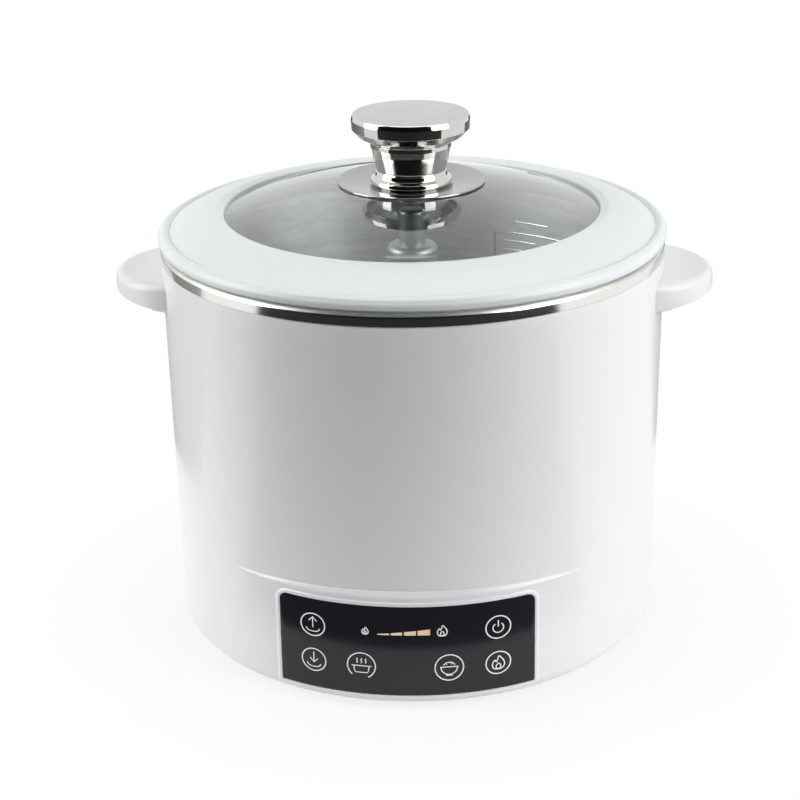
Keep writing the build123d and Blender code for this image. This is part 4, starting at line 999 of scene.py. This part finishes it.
cap_seat = 264.6
neck_section = rounded(
    [
        (0.0, dish_top, 0), (20.6, dish_top, 0.4), (21.8, 243.6, 0.9), (21.4, 245.5, 1.0),
        (19.4, 247.0, 0.9), (18.9, 249.3, 0.5), (18.3, 249.9, 0.2), (18.6, 250.6, 0.2),
        (21.3, 262.6, 0.4), (21.3, cap_seat, 0), (0.0, cap_seat, 0),
    ]
)
polished_steel, shader, place = new_finish("polished_steel")
smear = speckle(place, 90.0, (1, 1, 3), 3.0)
plug(
    polished_steel.node_tree,
    shader,
    {
        "Base Color": two_tone(smear, (0.60, 0.59, 0.575), (0.70, 0.69, 0.675)),
        "Roughness": 0.045 + smear * 0.05,
        "Metallic": 1.0,
    },
)
neck_rows = turned(finely(neck_section, 2.0), 180)
neck = piece("knob_stem", [(neck_rows, False, True)], polished_steel)
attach(neck, "lid")
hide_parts("knob_neck")

cap_section = rounded(
    [
        (0.0, cap_seat, 0), (21.3, cap_seat, 0), (21.4, 265.1, 0.15), (27.6, 268.3, 3.0),
        (31.0, 272.0, 0.4), (31.25, 277.0, 1.5), (30.6, 279.6, 0.8), (16.0, 280.2, 6.0),
        (0.0, 280.3, 0),
    ],
    12,
)
satin_from = 0.2795  # metres up: the mirror polish ends at the edge of the top
satin_top, shader, place = new_finish("satin_top")
across, ahead, height = axes_of(place)
top_mask = (height - satin_from) * 8000.0
top_mask = top_mask.node("ShaderNodeClamp", {"Value": top_mask})
turning = across.node("ShaderNodeCombineXYZ", {0: off_axis(across, ahead)})
turning = speckle(turning, 3000.0, (1, 1, 1), 3.0)
smudge = speckle(place, 90.0, (1, 1, 3), 3.0)
knob_tone = smudge * 0.5 + 0.5 - top_mask * 0.6
plug(
    satin_top.node_tree,
    shader,
    {
        "Base Color": two_tone(knob_tone, (0.50, 0.495, 0.49), (0.70, 0.69, 0.675)),
        "Roughness": 0.045 + smudge * 0.05 + top_mask * (0.16 + turning * 0.1),
        "Metallic": 1.0,
        "Normal": relief(turning * top_mask, 0.000004),
    },
)
cap_rows = turned(finely(cap_section, 2.0), 240)
cap = piece("knob_grip", [(cap_rows, False, True)], satin_top, 40.0)
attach(cap, "lid")
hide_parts("knob_cap")
dress(screw_steel, "lid_washer", "lid_screw")


# ------------------------------------------------------------ studio
# Pale floor, soft lamps to either side and above, and black flags in front and grey cards
# behind for the bright metal and the gloss to mirror. The camera stands a little above,
# where the front and the lid both show.
def lamp(name, place, target, width, height, power, mirrored=True):
    """Soft rectangular lamp at a place, turned to face a target, all in metres."""
    light = bpy.data.lights.new(name, "AREA")
    light.shape = "RECTANGLE"
    light.size, light.size_y = width, height
    light.energy = power
    away = np.array(place) - np.array(target)
    away = away / np.linalg.norm(away)
    right = np.cross([0, 0, 1], away)
    right = right / np.linalg.norm(right)
    stand = np.eye(4)
    stand[:3] = np.stack([right, np.cross(away, right), away, place], axis=1)
    softbox = bpy.data.objects.new(name, light)
    softbox.matrix_world = Matrix(stand.tolist())
    softbox.visible_glossy = mirrored
    bpy.context.scene.collection.objects.link(softbox)


lamp("right_softbox", (1.15, -0.61, 0.72), (0, 0, 0.25), 0.9, 1.45, 19.7)
lamp("left_softbox", (-1.26, -0.22, 0.72), (0, 0, 0.25), 0.8, 1.4, 17.3)
lamp("top_softbox", (0.0, 0.25, 1.5), (0, 0, 0.2), 1.2, 1.0, 5.0)
# The rear lamp only fills the back's shade: the lid doesn't mirror it.
lamp("rear_softbox", (0.25, 1.5, 0.55), (0, 0, 0.12), 1.0, 0.8, 5.0, mirrored=False)


def seen_directly(tree):
    """1 where the eye sees the surface itself, in a mirror or through glass, and 0 where the
    surface only lights another one."""
    rays = tree.nodes.new("ShaderNodeLightPath").outputs
    seen = Tap(tree, rays["Is Camera Ray"])
    for ray in ("Is Glossy Ray", "Is Transmission Ray"):
        seen = seen.node("ShaderNodeMath", {0: seen, 1: Tap(tree, rays[ray])}, operation="MAXIMUM")
    return seen


fill_light, backdrop = 0.06, 1.0
world = bpy.data.worlds.new("studio_air")
bpy.context.scene.world = world
world.use_nodes = True
air = world.node_tree
strength = fill_light + seen_directly(air) * (backdrop - fill_light)
plug(air, air.nodes["Background"], {"Color": (1, 1, 1, 1), "Strength": strength})

floor_half = 12.0
floor_corners = np.array([(-1, -1, 0), (1, -1, 0), (1, 1, 0), (-1, 1, 0)]) * floor_half
floor_mesh = bpy.data.meshes.new("floor")
floor_mesh.from_pydata(floor_corners.tolist(), [], [(0, 1, 2, 3)])
floor = bpy.data.objects.new("floor", floor_mesh)
bpy.context.scene.collection.objects.link(floor)
floor_white, shader, place = new_finish("floor_white")
tree = floor_white.node_tree
# Under the pot the floor keeps a part of its shadow, and from 0.22 m out it shows plain white.
away = place.node("ShaderNodeVectorMath", {0: place}, out="Value", operation="LENGTH")
open_floor = away.node("ShaderNodeMapRange", {"Value": away, 1: 0.13, 2: 0.22, 3: 0.82, 4: 1.0})
matte = place.node("ShaderNodeBsdfDiffuse", {"Color": (0.86, 0.86, 0.86, 1)})
bright = place.node("ShaderNodeEmission", {"Color": (1, 1, 1, 1), "Strength": 1.0})
shown = seen_directly(tree) * open_floor
laid = place.node("ShaderNodeMixShader", {0: shown, 1: matte, 2: bright})
tree.nodes.remove(shader)
plug(tree, tree.nodes["Material Output"], {"Surface": laid})
floor_mesh.materials.append(floor_white)


def card_finish(name, colour):
    """Flat matt card without any gloss."""
    material, shader, place = new_finish(name)
    plain = {"Base Color": (*colour, 1), "Roughness": 1.0, "Specular IOR Level": 0.0}
    plug(material.node_tree, shader, plain)
    return material


def card_strip(bearings, near, far):
    """Strip between two (distance, height) edges, swept over bearings in degrees about Z."""
    angle = np.radians(np.linspace(*bearings, 33))[:, None]
    distance, height = np.array([near, far]).T
    return np.stack(
        [distance * np.cos(angle), distance * np.sin(angle), height + 0 * angle], axis=-1
    )


flag_black = card_finish("flag_black", (0.03, 0.03, 0.03))
card_grey = card_finish("card_grey", (0.3, 0.29, 0.28))
front, just_up = (-154, -26), 0.001
for name, bearings, near, far, fills, finish in (
    ("near_flag", front, (0.2, just_up), (0.36, just_up), False, flag_black),
    ("far_flag", front, (0.36, just_up), (2.6, just_up), True, flag_black),
    ("high_flag", front, (2.6, just_up), (2.6, 4.5), True, flag_black),
    ("right_card", (42, 86), (0.3, just_up), (2.6, just_up), False, card_grey),
    ("left_card", (94, 172), (0.3, just_up), (2.6, just_up), False, card_grey),
):
    corners = card_strip(bearings, near, far)
    card_mesh = bpy.data.meshes.new(name)
    card_mesh.from_pydata(
        corners.reshape(-1, 3).tolist(), [], grid_quads(*corners.shape[:2]).tolist()
    )
    card_mesh.materials.append(finish)
    stood = bpy.data.objects.new(name, card_mesh)
    bpy.context.scene.collection.objects.link(stood)
    stood.visible_camera = stood.visible_transmission = stood.visible_shadow = False
    stood.visible_diffuse = fills

camera_data = bpy.data.cameras.new("camera")
camera_data.lens = 94.16
camera_data.sensor_width = 36.0
camera = bpy.data.objects.new("camera", camera_data)
bpy.context.scene.collection.objects.link(camera)
bpy.context.scene.camera = camera
camera_place = [0.0, -1.075, 0.53192]
pitch, roll, yaw, orbit = np.radians([21.016, -1.041, -0.433, 2.75])
forward = np.array([np.sin(yaw) * np.cos(pitch), np.cos(yaw) * np.cos(pitch), -np.sin(pitch)])
right = np.array([np.cos(yaw), -np.sin(yaw), 0.0])
up = np.cross(right, forward)
rolled_right = right * np.cos(roll) + up * np.sin(roll)
rolled_up = -right * np.sin(roll) + up * np.cos(roll)
round_pot = np.array(
    [[np.cos(orbit), -np.sin(orbit), 0], [np.sin(orbit), np.cos(orbit), 0], [0, 0, 1]]
)
pose = np.eye(4)
pose[:3] = round_pot @ np.stack([rolled_right, rolled_up, -forward, camera_place], axis=1)
camera.matrix_world = Matrix(pose.tolist())

bpy.context.scene.view_settings.view_transform = "Standard"
